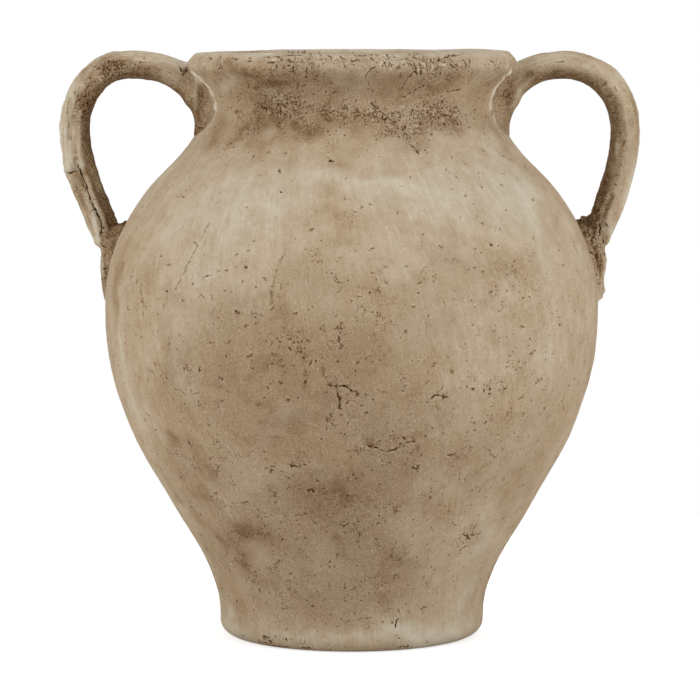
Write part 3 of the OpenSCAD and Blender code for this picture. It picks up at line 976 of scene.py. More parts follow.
def stroke(tree, points, kind, shake=WANDER, thinnest=THINNEST):
    """Samples (place, reach, depth, darkness, paleness) of one mark through points on a surface."""
    reach, depth, dark, pale = kind
    line = resampled(np.array(points), STROKE_STEP)
    samples = []
    for i, place in enumerate(line):
        wandered = Vector(place) + noise.noise_vector(Vector(place) / WANDER_SIZE) * shake
        on_clay = tree.find_nearest(wandered)[0]
        swell = 1 + SWELL * noise.noise(Vector(place) / (SWELL_SIZE + 2 * reach))
        swell = min(THICKEST, max(thinnest, swell))
        taper = min(1.0, (i + 1.5) / TAPER_SAMPLES, (len(line) - i + 0.5) / TAPER_SAMPLES)
        shade = min(1.0, LEAST_SHADE + SWOLLEN_SHADE * swell)
        samples.append((on_clay, reach * swell * (TIP_REACH + (1 - TIP_REACH) * taper),
                        depth * swell * taper, dark * shade, pale * shade * taper))
    return samples


def pit(tree, place, radius):
    """Samples of one pit with a ragged edge: a core, and spurs beside it."""
    reach, depth, dark = PIT_CORE
    samples = [(place, reach * radius, depth * radius, dark, 0.0)]
    reach, depth, dark = PIT_SPUR
    for i in range(PIT_SPURS):
        shifted = Vector(place) / MM + Vector((SPUR_SHIFT * i, 0, 0))
        aside = noise.noise_vector(shifted) * radius * SPUR_REACH
        beside = tree.find_nearest(Vector(place) + aside)[0]
        samples.append((beside, reach * radius, depth * radius, dark, 0.0))
    return samples


def lines_seen(tree, lines):
    """The lines of pixels that lie wholly on a surface, as lists of places on it."""
    on_clay = [[seen_at(tree, x, y) for x, y in line] for line in lines]
    return [points for points in on_clay if all(points)]


outer_tree = surface_tree(outer_skin)
print("lip slashes on the wall:", len(lines_seen(outer_tree, LIP_SLASHES)), "of", len(LIP_SLASHES))

# %% Put the marks on the clay
# Each kind of mark: its reach to both sides, its depth (below 0 it is raised), darkness and paleness
CRACK = (0.37 * MM, 0.8 * MM, 0.95, 0.0)
SLASH = (0.34 * MM, 0.8 * MM, 0.9, 0.0)
SCRATCH = (0.33 * MM, 0.2 * MM, 0.5, 0.0)
CHIP = (0.6 * MM, -0.4 * MM, 0.0, 1.0)
PIT_SHARE = 0.74
WALL_LINES = ((LIP_SLASHES, SLASH), (LIP_CHIPS, CHIP), (BODY_CRACKS, CRACK), (SCRATCHES, SCRATCH))
wall_strokes = [(points, kind) for lines, kind in WALL_LINES for points in lines_seen(outer_tree, lines)]
wall_pits = [(seen_at(outer_tree, x, y), size * PIT_SHARE * MM) for x, y, size in PITS]
wall_pits = [(place, radius) for place, radius in wall_pits if place]
wall_marks = []
for points, kind in wall_strokes:
    wall_marks += stroke(outer_tree, points, kind)
for place, radius in wall_pits:
    wall_marks += pit(outer_tree, place, radius)
print("marks on the wall, seen:", len(wall_marks), "samples")

# %% [markdown]
# ## The side that the photograph doesn't show
# The back of the jar dried and wore as the front did. So each mark of the front has a second one
# behind, turned about half way round by an uneven angle and moved a little up or down.

# %% Marks behind
chance = random.Random(CLAY_SEED)
TURN_SPREAD = math.radians(58)
LIFT_ON_BODY = 17 * MM
LIFT_AT_ENDS = 2.5 * MM
NECK_FOOT_Z = 296 * MM


def behind(points):
    """The same few points, turned about half way round and moved up or down."""
    turn = math.pi + chance.uniform(-TURN_SPREAD, TURN_SPREAD)
    lift = chance.uniform(-1, 1)
    c = math.cos(turn)
    s = math.sin(turn)
    moved = []
    for place in points:
        at_an_end = place.z > NECK_FOOT_Z or place.z < 2 * LIFT_ON_BODY
        rise = lift * (LIFT_AT_ENDS if at_an_end else LIFT_ON_BODY)
        shifted = Vector((c * place.x - s * place.y, s * place.x + c * place.y, place.z + rise))
        moved.append(outer_tree.find_nearest(shifted)[0])
    return moved


for points, kind in wall_strokes:
    wall_marks += stroke(outer_tree, behind(points), kind)
for place, radius in wall_pits:
    wall_marks += pit(outer_tree, behind([place])[0], radius)
print("marks on the wall, all round:", len(wall_marks), "samples")

# %% Burrs, rough patches and ticks
BURR = (1.9 * MM, -1.1 * MM, 0.0, 0.9)
BURR_DEGREES = {"left": ((190, 118), (10, 55)), "right": ((190, 120), (10, 55))}
BURR_POINTS = 24
BURR_SHAKE = 0.5 * MM
# Each rough patch: a pixel, how far it spreads across and down in pixels, and how many marks it has
ROUGH_PATCHES = [
    (285, 106, 34, 13, 110), (345, 112, 26, 12, 70), (446, 119, 22, 14, 80), (405, 113, 34, 10, 90),
    (300, 70, 60, 10, 40), (430, 66, 50, 9, 50), (420, 130, 44, 12, 40), (300, 130, 60, 10, 30),
]
CRUMB = (0.55 * MM, -0.3 * MM, 0.0, 0.7)
TICK = (0.33 * MM, 0.35 * MM, 0.8, 0.0)
FAINT_TICK = (0.34 * MM, 0.35 * MM, 0.55, 0.0)
PATCH_PIT_LOT = 0.35
PATCH_CRUMB_LOT = 0.75
PATCH_PIT_MM = (0.3, 0.6)
PATCH_TICK = 3 * MM
TICK_SLANT = (0.5, 0.7)
TICK_SHARE = (0.3, 1)
LONG_TICK = 3.5 * MM
MARKS_ALL_ROUND = 380
MARK_HEIGHTS = (25 * MM, 300 * MM)
LONE_PIT_LOT = 0.45
LONE_PIT_MM = (0.25, 0.6)


def wall_place(turn, z):
    """Place on the outer skin at an angle round the axis and a height."""
    far = Vector((math.cos(turn), math.sin(turn), 0))
    return outer_tree.ray_cast(far + Vector((0, 0, z)), -far)[0]


def tick(place, longest, kind):
    """A short slanting mark."""
    outwards = Vector((place.x, place.y, 0)).normalized()
    sideways = Vector((-outwards.y, outwards.x, 0))
    slant = chance.gauss(*TICK_SLANT)
    reach = chance.uniform(*TICK_SHARE) ** 2 * longest
    end = place + (sideways * math.cos(slant) - Vector((0, 0, math.sin(slant)))) * reach
    return stroke(outer_tree, [place, outer_tree.find_nearest(end)[0]], kind)


for side in SIDES:
    for start, end in BURR_DEGREES[side]:
        wall_marks += stroke(outer_tree, scoop_edge(side, start, end, BURR_POINTS), BURR, BURR_SHAKE)
for x, y, half_w, half_h, count in ROUGH_PATCHES:
    for i in range(count):
        spot = seen_at(outer_tree, chance.gauss(x, half_w / 2), chance.gauss(y, half_h / 2))
        for place in (spot, behind([spot])[0]) if spot else ():
            lot = chance.random()
            if lot < PATCH_PIT_LOT:
                wall_marks += pit(outer_tree, place, chance.uniform(*PATCH_PIT_MM) * MM)
            else:
                wall_marks += tick(place, PATCH_TICK, CRUMB if lot > PATCH_CRUMB_LOT else FAINT_TICK)
for i in range(MARKS_ALL_ROUND):
    place = wall_place(chance.uniform(0, math.tau), chance.uniform(*MARK_HEIGHTS))
    if chance.random() < LONE_PIT_LOT:
        wall_marks += pit(outer_tree, place, chance.uniform(*LONE_PIT_MM) * MM)
    else:
        wall_marks += tick(place, LONG_TICK, TICK)
print("with burrs, rough patches and ticks:", len(wall_marks), "samples")


# %% Refine a mesh round the marks
def nearest_marks(places, samples):
    """For each place, its distance to the nearest sample, and that sample's index."""
    finder = finder_of([sample[0] for sample in samples])
    found = [finder.find(p) for p in places]
    return np.array([f[2] for f in found]), np.array([f[1] for f in found])


def refined(mesh, samples, margins):
    """Halves the faces round the marks once for each margin."""
    reach = np.array([s[1] for s in samples])
    grid = bmesh.new()
    grid.from_mesh(mesh)
    for margin in margins:
        grid.verts.index_update()
        distance, nearest = nearest_marks([v.co for v in grid.verts], samples)
        close = distance < reach[nearest] + margin
        edges = [e for e in grid.edges if close[e.verts[0].index] and close[e.verts[1].index]]
        bmesh.ops.subdivide_edges(grid, edges=edges, cuts=1, use_grid_fill=True)
    grid.to_mesh(mesh)
    grid.free()


print("widest mark reaches", round(max(s[1] for s in wall_marks) / MM, 2), "mm to each side")

# %% Cut the marks into a mesh
WALL_MARGINS = (1.3 * MM, 0.5 * MM)
HANDLE_MARGINS = (0.9 * MM, 0.4 * MM)
HANDLE_CRACK = (0.4 * MM, 1.1 * MM, 0.9, 0.0)
HANDLE_THINNEST = 0.75
PUSHED_UP = 0.15
PUSHED_AT = 1.4
PUSHED_WIDTH = 0.35
DARK_EDGE = (0.75, 1.12)
PALE_EDGE = (0.3, 1.2)
# Painted highlight: a pale band along both sides of each groove
EDGE_HIGHLIGHT = 0.45
EDGE_HIGHLIGHT_AT = 1.75
EDGE_HIGHLIGHT_WIDTH = 0.4


def carve(mesh, samples, margins):
    """Cuts the marks into a mesh, and keeps how dark and how pale each point became, with a painted
    highlight beside each groove.
    """
    refined(mesh, samples, margins)
    places = corners(mesh)
    distance, nearest = nearest_marks(places, samples)
    reach, depth, dark, pale = np.array([s[1:] for s in samples])[nearest].T
    across = distance / reach
    groove = depth * (1 - np.clip(across, 0, 1) ** 2) ** 2
    pushed_up = PUSHED_UP * depth * bell(across, PUSHED_AT, PUSHED_WIDTH)
    # Painted highlight beside the groove, kept with the pale of raised chips and burrs
    wear_and_highlight = EDGE_HIGHLIGHT * dark * bell(across, EDGE_HIGHLIGHT_AT, EDGE_HIGHLIGHT_WIDTH)
    move_corners(mesh, places + corner_normals(mesh) * (pushed_up - groove)[:, None])
    store(mesh, "crack_and_shade", dark * (1 - step(across, *DARK_EDGE)))
    store(mesh, "burr_and_highlight", pale * (1 - step(across, *PALE_EDGE)) + wear_and_highlight)


carve(outer_skin, wall_marks, WALL_MARGINS)
print("outer skin after carving:", len(outer_skin.polygons), "faces")
for side in SIDES:
    clay_tree = surface_tree(rolled[side])
    marks = []
    for points in lines_seen(clay_tree, HANDLE_CRACKS):
        marks += stroke(clay_tree, points, HANDLE_CRACK, thinnest=HANDLE_THINNEST)
    for points in lines_seen(clay_tree, HANDLE_TICKS):
        marks += stroke(clay_tree, points, FAINT_TICK)
    carve(rolled[side], marks, HANDLE_MARGINS)
    print(side, "handle after carving:", len(rolled[side].polygons), "faces")


# %% Press the scoops into the wall
SCOOP_SEARCH = 1.4
SKIN_DEPTH = 4 * MM
SCOOP_SIDE_X = 40 * MM
places = corners(outer_skin)
near_top = places[:, 2] > SCOOP_Z - SCOOP_SEARCH * SCOOP_HALF_H
outside = np.hypot(places[:, 0], places[:, 1]) > wall_radius(places[:, 2]) - SKIN_DEPTH
hollow = np.zeros(len(places))
for side, sign in SIDES.items():
    beside = near_top & outside & (sign * places[:, 0] > SCOOP_SIDE_X)
    hollow[beside] = scoop(places[beside], side)
move_corners(outer_skin, off_wall(places, -hollow))
print("scoops: deepest", round(hollow.max() / MM, 2), "mm")

# %% [markdown]
# ## Stains, painted shade and painted highlights
# Earth was rubbed into the damp clay and wiped off the high places, so the jar is blotched: brown
# where the wash stayed, pale where it wore off. Some pale patches are painted highlights instead,
# along the sides of the body, and painted light on the foot's lower edge where the floor lights it.
# Painted shade darkens the neck under the lip and, with some stain, the thumb hollows; painted light
# brightens the inside of the mouth and the top edge of the lip. Blotches that the photograph shows
# are placed as soft ovals, and their strength is stored on the points for the finish to break up.

# %% Where the stains and painted highlights are
# Each patch: a pixel, half its width and half its height in millimetres, and its strength
WASH_PATCHES = [
    (300, 400, 66, 54, 0.22), (320, 520, 60, 40, 0.27), (310, 590, 50, 26, 0.2),
    (270, 98, 34, 17, 0.34), (425, 108, 38, 15, 0.08), (190, 420, 26, 42, 0.2),
    (540, 430, 32, 40, 0.16), (470, 470, 34, 34, 0.12), (264, 76, 26, 6, 0.56), (250, 92, 16, 10, 0.25),
    (272, 118, 22, 8, 0.4), (300, 92, 10, 14, 0.3), (250, 132, 14, 6, 0.35), (300, 128, 24, 6, 0.35),
    (335, 108, 12, 14, 0.45), (350, 84, 14, 8, 0.3), (392, 92, 14, 6, 0.38), (420, 78, 22, 6, 0.2),
    (445, 90, 18, 9, 0.24), (400, 116, 24, 6, 0.36), (445, 120, 18, 8, 0.34), (478, 112, 10, 14, 0.25),
    (350, 126, 30, 6, 0.3), (220, 126, 10, 8, 0.4), (430, 135, 26, 5, 0.25), (225, 76, 10, 8, 0.25),
    (420, 62, 20, 4, 0.3), (300, 62, 40, 4, 0.15), (225, 62, 14, 4, 0.2), (365, 60, 20, 4, 0.15),
    (470, 62, 16, 4, 0.15), (330, 158, 8, 5, 0.35), (280, 170, 8, 5, 0.25), (340, 212, 22, 8, 0.22),
    (300, 270, 16, 10, 0.18), (345, 285, 22, 12, 0.2), (455, 265, 24, 10, 0.22),
    (510, 272, 18, 10, 0.24), (400, 275, 24, 10, 0.12), (230, 365, 24, 18, 0.3),
    (215, 330, 18, 12, 0.15), (290, 392, 18, 10, 0.15), (305, 350, 24, 18, 0.3),
    (355, 358, 18, 16, 0.3), (260, 320, 24, 14, 0.2), (350, 420, 30, 26, 0.2), (250, 420, 28, 18, 0.25),
    (300, 445, 26, 14, 0.12), (392, 460, 20, 16, 0.4), (340, 494, 32, 10, 0.5), (322, 515, 16, 14, 0.4),
    (420, 430, 22, 20, 0.2), (250, 535, 18, 11, 0.6), (240, 565, 10, 12, 0.4), (280, 500, 22, 12, 0.2),
    (300, 560, 26, 16, 0.12), (385, 562, 18, 10, 0.3), (360, 535, 18, 12, 0.25),
    (310, 608, 18, 12, 0.32), (400, 602, 10, 10, 0.3), (350, 590, 26, 12, 0.25),
    (262, 600, 14, 12, 0.15), (183, 448, 12, 7, 0.35), (210, 472, 12, 7, 0.35), (200, 500, 14, 12, 0.2),
    (455, 456, 10, 8, 0.2), (465, 535, 8, 7, 0.2), (168, 375, 12, 24, 0.22), (395, 330, 22, 18, 0.15),
    (390, 385, 22, 18, 0.15), (440, 400, 16, 16, 0.12), (540, 420, 22, 24, 0.15),
    (520, 470, 18, 16, 0.15), (178, 468, 16, 18, 0.3), (205, 515, 16, 22, 0.25),
    (222, 565, 12, 20, 0.3), (228, 600, 10, 16, 0.2), (122, 262, 8, 16, 0.35), (115, 292, 6, 14, 0.4),
    (445, 310, 24, 12, 0.15), (485, 440, 14, 18, 0.2), (525, 490, 14, 16, 0.2),
    (474, 572, 12, 16, 0.25), (222, 380, 14, 16, 0.15), (262, 72, 16, 6, 0.3), (492, 84, 8, 8, 0.35),
    (212, 90, 8, 20, 0.2), (445, 132, 22, 6, 0.2), (225, 460, 12, 10, 0.2), (245, 576, 10, 14, 0.2),
    (235, 550, 8, 12, 0.15), (242, 66, 16, 5, 0.3), (295, 285, 12, 10, 0.12), (310, 385, 18, 12, 0.12),
    (355, 405, 10, 12, 0.12), (378, 240, 10, 8, 0.12), (140, 275, 8, 12, 0.2), (240, 360, 10, 14, 0.1),
    (440, 135, 12, 5, 0.15), (400, 580, 14, 12, 0.15), (300, 79, 34, 4, 0.2), (386, 78, 22, 4, 0.2),
    (440, 80, 26, 4, 0.1), (272, 128, 14, 6, 0.2), (336, 124, 14, 6, 0.25), (480, 90, 8, 12, 0.25),
    (170, 480, 8, 12, 0.2), (225, 520, 8, 12, 0.2), (205, 97, 3, 8, 0.45),
]
# Pale patches: partly worn clay, partly painted highlights along the sides of the body and painted light
# on the foot's lower edge, where the floor lights it
PALE_PATCHES = [
    (250, 192, 32, 14, 0.45), (400, 186, 36, 9, 0.45), (450, 205, 30, 12, 0.35),
    (522, 195, 12, 14, 0.4), (320, 178, 18, 8, 0.3), (170, 232, 24, 18, 0.35), (235, 232, 30, 14, 0.35),
    (200, 275, 24, 9, 0.25), (480, 232, 20, 8, 0.2), (122, 350, 8, 26, 0.4), (132, 405, 8, 16, 0.3),
    (586, 275, 6, 22, 0.3), (545, 255, 14, 14, 0.25), (555, 345, 16, 22, 0.2), (455, 630, 16, 8, 0.5),
    (468, 590, 10, 22, 0.3), (478, 550, 10, 14, 0.2), (236, 630, 10, 9, 0.7), (300, 643, 28, 4, 0.3),
    (380, 646, 30, 4, 0.25), (440, 325, 20, 14, 0.15), (490, 320, 16, 12, 0.12),
    (470, 375, 14, 14, 0.15), (505, 180, 26, 14, 0.35), (528, 212, 14, 12, 0.25),
    (405, 235, 20, 10, 0.25), (430, 640, 26, 6, 0.75), (200, 185, 16, 8, 0.2), (395, 150, 24, 8, 0.2),
    (330, 398, 18, 12, 0.15), (285, 418, 18, 8, 0.2), (320, 572, 18, 14, 0.2), (405, 552, 12, 8, 0.2),
    (255, 160, 12, 8, 0.15), (470, 520, 14, 10, 0.15), (510, 176, 18, 12, 0.3),
    (505, 212, 18, 12, 0.25), (385, 196, 20, 10, 0.2), (400, 128, 14, 8, 0.2), (432, 265, 14, 7, 0.25),
    (556, 290, 10, 12, 0.25), (268, 490, 12, 8, 0.3), (305, 480, 12, 10, 0.25),
    (382, 436, 16, 12, 0.25), (535, 430, 18, 14, 0.25), (330, 590, 18, 14, 0.15),
    (475, 535, 8, 10, 0.3), (266, 100, 8, 6, 0.4), (318, 68, 10, 5, 0.3), (225, 300, 10, 10, 0.2),
    (180, 370, 8, 24, 0.2), (450, 60, 24, 4, 0.3), (312, 71, 8, 6, 0.3), (357, 76, 10, 7, 0.35),
    (395, 60, 14, 4, 0.3), (200, 240, 10, 12, 0.2), (335, 550, 8, 10, 0.15), (212, 98, 3, 7, 0.85),
    (204, 83, 4, 4, 0.85), (506, 77, 4, 4, 0.8),
]
ROUGH_OVALS = [
    (285, 108, 22, 8, 1.0), (345, 112, 12, 6, 0.7), (400, 116, 26, 7, 1.0), (445, 118, 16, 9, 1.0),
    (300, 70, 14, 4, 0.5), (425, 66, 26, 5, 0.7), (295, 342, 8, 5, 0.6), (490, 390, 12, 4, 0.5),
    (345, 400, 14, 8, 0.5), (380, 450, 20, 6, 0.5), (275, 642, 14, 3, 0.8), (300, 580, 40, 26, 0.12),
    (465, 536, 7, 6, 0.6), (350, 520, 50, 26, 0.1), (525, 345, 36, 44, 0.25), (350, 605, 70, 18, 0.15),
    (250, 520, 40, 30, 0.1), (350, 60, 120, 4, 0.6), (520, 290, 16, 10, 0.3), (430, 500, 40, 30, 0.06),
]
print("stains:", len(WASH_PATCHES), "washed,", len(PALE_PATCHES), "pale,", len(ROUGH_OVALS), "rough")

# %% Soft ovals with ragged edges
STAIN_DEPTH = 70 * MM
STAIN_SHAKES = ((26 * MM, 13 * MM), (9 * MM, 5 * MM))


def shaken(places):
    """The places moved about by noise, so that what is looked up there gets a ragged edge."""
    moved = places.copy()
    for size, far in STAIN_SHAKES:
        moved += far * np.array([noise.noise_vector(Vector(p) / size) for p in places])
    return moved


def soft_ovals(places, patches, tree):
    """Strength of soft ovals, placed by pixel, at each of the places; one more lies behind."""
    kept = np.ones(len(places))
    for x, y, across_mm, along_mm, strength in patches:
        centre = seen_at(tree, x, y)
        for middle in (centre, behind([centre])[0]):
            outwards = np.array((middle.x, middle.y, 0)) / math.hypot(middle.x, middle.y)
            sideways = np.array((-outwards[1], outwards[0], 0))
            away = places - np.array(middle)
            oval = (away @ sideways / (across_mm * MM)) ** 2 + (away[:, 2] / (along_mm * MM)) ** 2
            oval += (away @ outwards / STAIN_DEPTH) ** 2
            kept *= 1 - strength * np.exp(-oval)
    return 1 - kept


wall_places = corners(outer_skin)
shaken_places = shaken(wall_places)
moved_by = np.linalg.norm(shaken_places - wall_places, axis=1)
print("stains are shaken by", round(moved_by.mean() / MM, 1), "mm on average")

# %% Stain the wall, with painted shade and painted highlights
# Painted light brightens the inside of the mouth, which lies in shade
MOUTH_PALE = 0.6
# A painted highlight runs along the top outer edge of the lip
LIP_EDGE_PALE = 0.35
LIP_EDGE_Z = (top_z - 4 * MM, top_z - 1 * MM)
# Painted shade, with some earth stain, darkens the thumb hollows by their depth
HOLLOW_STAIN_AND_SHADE = 0.6
HOLLOW_MOTTLE = 0.4
HOLLOW_MOTTLE_SIZE = 8 * MM
# Painted shade: the neck is darkened under the overhang of the lip
UNDER_LIP_SHADE = 0.22
UNDER_LIP_SIZE = 18 * MM
UNDER_LIP_Z = (316 * MM, 334 * MM)
LIP_FOOT_Z = (338 * MM, 340.5 * MM)
height = wall_places[:, 2]
in_hollow = HOLLOW_STAIN_AND_SHADE * hollow / SCOOP_DEPTH
in_hollow *= 1 + HOLLOW_MOTTLE * lumpy(wall_places, HOLLOW_MOTTLE_SIZE, seed=7)
under_lip = UNDER_LIP_SHADE * outside * (1 + lumpy(wall_places, UNDER_LIP_SIZE, seed=6))
under_lip *= step(height, *UNDER_LIP_Z) * (1 - step(height, *LIP_FOOT_Z))
in_mouth = MOUTH_PALE * ((height > rim_seam_z) & ~outside)
on_edge = LIP_EDGE_PALE * outside * step(height, *LIP_EDGE_Z)
# The darkening kept here is earth stain together with painted shade under the lip and in the hollows
wall_darkening = 1 - (1 - soft_ovals(shaken_places, WASH_PATCHES, outer_tree)) * (1 - under_lip)
paled = soft_ovals(shaken_places, PALE_PATCHES, outer_tree)
store(outer_skin, "wash_and_shade", np.maximum(wall_darkening, in_hollow * (1 - paled)))
store(outer_skin, "pale", np.maximum(paled, np.maximum(in_mouth, on_edge)))
store(outer_skin, "rough", soft_ovals(shaken_places, ROUGH_OVALS, outer_tree))
print("wall washed by", round(float(wall_darkening.mean()), 2), "and paled by", round(float(paled.mean()), 2))

# %% [markdown]
# ## Stains, painted shade and painted highlights of the handles
# On a handle, painted shade darkens the inside of the loop, the clay next to the wall, and the grooves
# of the folds and of the torn wads; inside the loop it stands for earth stain as well. Painted
# highlights make the outer side and the crests of the folds and tears pale. All of that follows from
# which way a point faces and how deep it lies, so it is worked out; only a few patches are placed, and
# they hold stain and wear together with painted shade and painted highlights.

# %% Where the stains, painted shade and painted highlights of the handles are
# Dark patches: earth stain, together with painted shade on the inner bends and undersides of the loops
# and at the roots
BAR_WASH_AND_SHADE = [
    (108, 66, 9, 6, 1.0), (122, 64, 9, 5, 0.9), (86, 98, 7, 10, 1.0), (88, 130, 3, 10, 0.6),
    (145, 70, 10, 4, 0.6), (78, 186, 6, 10, 0.5), (86, 206, 4, 6, 0.35), (73, 176, 4, 4, 0.3),
    (583, 221, 5, 4, 0.9), (126, 223, 4, 3, 0.7), (183, 80, 6, 6, 0.4), (104, 205, 3, 8, 0.6),
    (112, 228, 4, 6, 0.8), (110, 241, 5, 8, 0.7), (632, 130, 4, 18, 0.25), (609, 208, 5, 10, 0.45),
    (575, 58, 18, 4, 0.3), (511, 84, 5, 7, 0.75), (80, 172, 6, 2, 0.4), (204, 97, 3, 9, 0.6),
    (191, 78, 4, 4, 0.5), (108, 262, 3, 10, 0.5), (108, 289, 3, 10, 0.5), (196, 125, 4, 3, 0.6),
    (76, 120, 4, 5, 0.3), (590, 82, 8, 5, 0.45), (612, 110, 4, 9, 0.3), (612, 160, 4, 10, 0.35),
    (600, 200, 5, 9, 0.4), (522, 80, 3, 3, 0.4), (508, 98, 3, 6, 0.7), (592, 230, 9, 12, 0.7),
    (597, 252, 4, 10, 0.5), (530, 75, 6, 5, 0.35), (505, 95, 4, 6, 0.4), (560, 74, 12, 3, 0.4),
]
# Pale patches: wear, together with painted highlights along the outer edges and the tops of the loops
BAR_PALE = [
    (66, 135, 2, 12, 0.6), (73, 150, 2, 8, 0.4), (130, 54, 14, 2, 0.5), (95, 220, 2, 7, 0.8),
    (98, 240, 2, 6, 0.9), (165, 60, 10, 2, 0.3), (634, 120, 2, 14, 0.1), (620, 75, 6, 5, 0.4),
    (560, 57, 14, 3, 0.35), (612, 235, 3, 8, 0.6), (596, 236, 3, 6, 0.35), (604, 226, 3, 5, 0.35),
    (95, 62, 8, 3, 0.4), (74, 88, 4, 6, 0.4), (610, 215, 3, 8, 0.4), (616, 146, 1, 3, 0.8),
    (81, 163, 3, 2, 0.4), (70, 118, 3, 10, 0.3), (199, 77, 3, 3, 0.6), (519, 92, 2, 6, 0.45),
    (525, 84, 3, 3, 0.25), (514, 103, 2, 5, 0.3), (197, 98, 1, 7, 0.4), (80, 84, 4, 4, 0.5),
    (72, 96, 3, 8, 0.5), (79, 165, 4, 5, 0.6), (103, 266, 2, 6, 0.5), (170, 80, 10, 4, 0.3),
    (90, 235, 2, 6, 0.4), (88, 200, 2, 8, 0.4),
]
BAR_ROUGH = [
    (588, 232, 8, 8, 0.5), (594, 255, 6, 12, 0.45), (108, 262, 4, 14, 0.6), (112, 68, 18, 7, 0.8),
    (85, 105, 7, 16, 0.8), (110, 225, 6, 10, 0.6), (600, 205, 6, 12, 0.4),
]


def bar_ovals(places, patches):
    """Strength of soft ovals, placed by pixel, that go right round a bar."""
    kept = np.ones(len(places))
    for x, y, across_mm, along_mm, strength in patches:
        middle = on_middle(x, y)
        oval = ((places[:, 0] - middle.x) / (across_mm * MM)) ** 2
        oval += ((places[:, 2] - middle.z) / (along_mm * MM)) ** 2
        kept *= 1 - strength * np.exp(-oval)
    return 1 - kept


print("handle stains:", len(BAR_WASH_AND_SHADE), "washed,", len(BAR_PALE), "pale,", len(BAR_ROUGH), "rough")

# %% Stain the handles, with painted shade and painted highlights
LOOP_CENTRES = {"left": (140, 140), "right": (562, 140)}
# Painted shade, with earth stain, darkens the inner side of each loop, which faces the jar
INNER_STAIN_AND_SHADE = {"left": 0.75, "right": 0.62}
INNER_FACING = (-0.3, 0.65)
# Painted highlight on the outer side of each loop, which faces the side lamps
OUTER_PALE = {"left": 0.35, "right": 0.1}
OUTER_FACING = (0.3, 0.95)
# Painted shade on the handle's clay close to the wall, where it meets the jar
ROOT_SHADE = 0.4
ROOT_FACING = (-0.7, 0.3)
ROOT_ENDS = (3 * MM, 16 * MM)
# Painted shade in the grooves of the folds, and painted highlights on their crests
FOLD_SHADE = {"left": 0.45, "right": 0.3}
FOLD_DEEP = (0.05, 0.5)
RIDGE_PALE = {"left": 0.35, "right": 0.25}
RIDGE_HIGH = (0.1, 0.5)
# Painted shade in the grooves of the torn wads, darkest in the deepest, and painted highlights on their
# ridges
TORN_SHADE = 0.6
TORN_LOW = (0.0, 0.4)
TORN_DARK = 0.45
TORN_DEEP = (0.3, 0.5)
TORN_PALE = 0.3
TORN_HIGH = (0.1, 0.5)
PALE_CLEARS_DARK = 0.8
INNER_DULL = 0.7


def stained_handle(side):
    """Keeps on a handle's points its stain and painted shade, its wear and painted highlights, and how
    rough and how dark each is.
    """
    mesh = rolled[side]
    places = corners(mesh)
    inwards = np.array(on_middle(*LOOP_CENTRES[side])) - places
    inwards /= np.linalg.norm(inwards, axis=1)[:, None]
    facing = (inwards * corner_normals(mesh)).sum(axis=1)
    proud = from_wall(places, SIDES[side])[2]
    fold = values(mesh, "fold")
    torn = values(mesh, "torn")
    inner_side = INNER_STAIN_AND_SHADE[side] * step(facing, *INNER_FACING)
    at_root = ROOT_SHADE * (1 - step(proud, *ROOT_ENDS)) * step(facing, *ROOT_FACING)
    in_fold = FOLD_SHADE[side] * step(-fold, *FOLD_DEEP)
    in_tear = TORN_SHADE * step(-torn, *TORN_LOW)
    # Dark patches placed by pixel: earth stain together with painted shade
    rubbed = bar_ovals(places, BAR_WASH_AND_SHADE)
    wear_and_highlight = bar_ovals(places, BAR_PALE)
    kept = (1 - np.maximum(inner_side, at_root)) * (1 - in_fold) * (1 - in_tear) * (1 - rubbed)
    # Painted highlights on the outer side and on the crests of the folds
    painted_highlight = OUTER_PALE[side] * step(-facing, *OUTER_FACING) + RIDGE_PALE[side] * step(fold, *RIDGE_HIGH)
    # The painted shade of the deep tears is kept with the cracks, and the painted highlights of their
    # ridges with the burrs
    store(mesh, "crack_and_shade", np.maximum(values(mesh, "crack_and_shade"), TORN_DARK * step(-torn, *TORN_DEEP)))
    store(mesh, "burr_and_highlight", np.maximum(values(mesh, "burr_and_highlight"), TORN_PALE * step(torn, *TORN_HIGH)))
    store(mesh, "wash_and_shade", (1 - kept) * (1 - PALE_CLEARS_DARK * wear_and_highlight))
    store(mesh, "pale", np.maximum(painted_highlight * (1 - INNER_DULL * inner_side), wear_and_highlight))
    store(mesh, "rough", bar_ovals(places, BAR_ROUGH))


for side in SIDES:
    stained_handle(side)
    print(side, "handle: washed", round(float(values(rolled[side], "wash_and_shade").mean()), 2), "on average")


# %% [markdown]
# ## Part the skin into the jar's pieces
# The continuous skin is cut where the sections meet, and each ring is closed with its keyed edges,
# so every piece is a solid of its own. The normals of the whole skin are kept on the cut pieces,
# which hides the cuts just as the potter's sponge did.

# %% Piece helpers
MARK_NAMES = ("crack_and_shade", "burr_and_highlight", "wash_and_shade", "pale", "rough", "streak")


def face_corners(mesh):
    """Vertex numbers of all face corners, and where each face starts."""
    corner = np.empty(len(mesh.loops), int)
    mesh.loops.foreach_get("vertex_index", corner)
    start = np.empty(len(mesh.polygons), int)
    mesh.polygons.foreach_get("loop_start", start)
    return corner, start


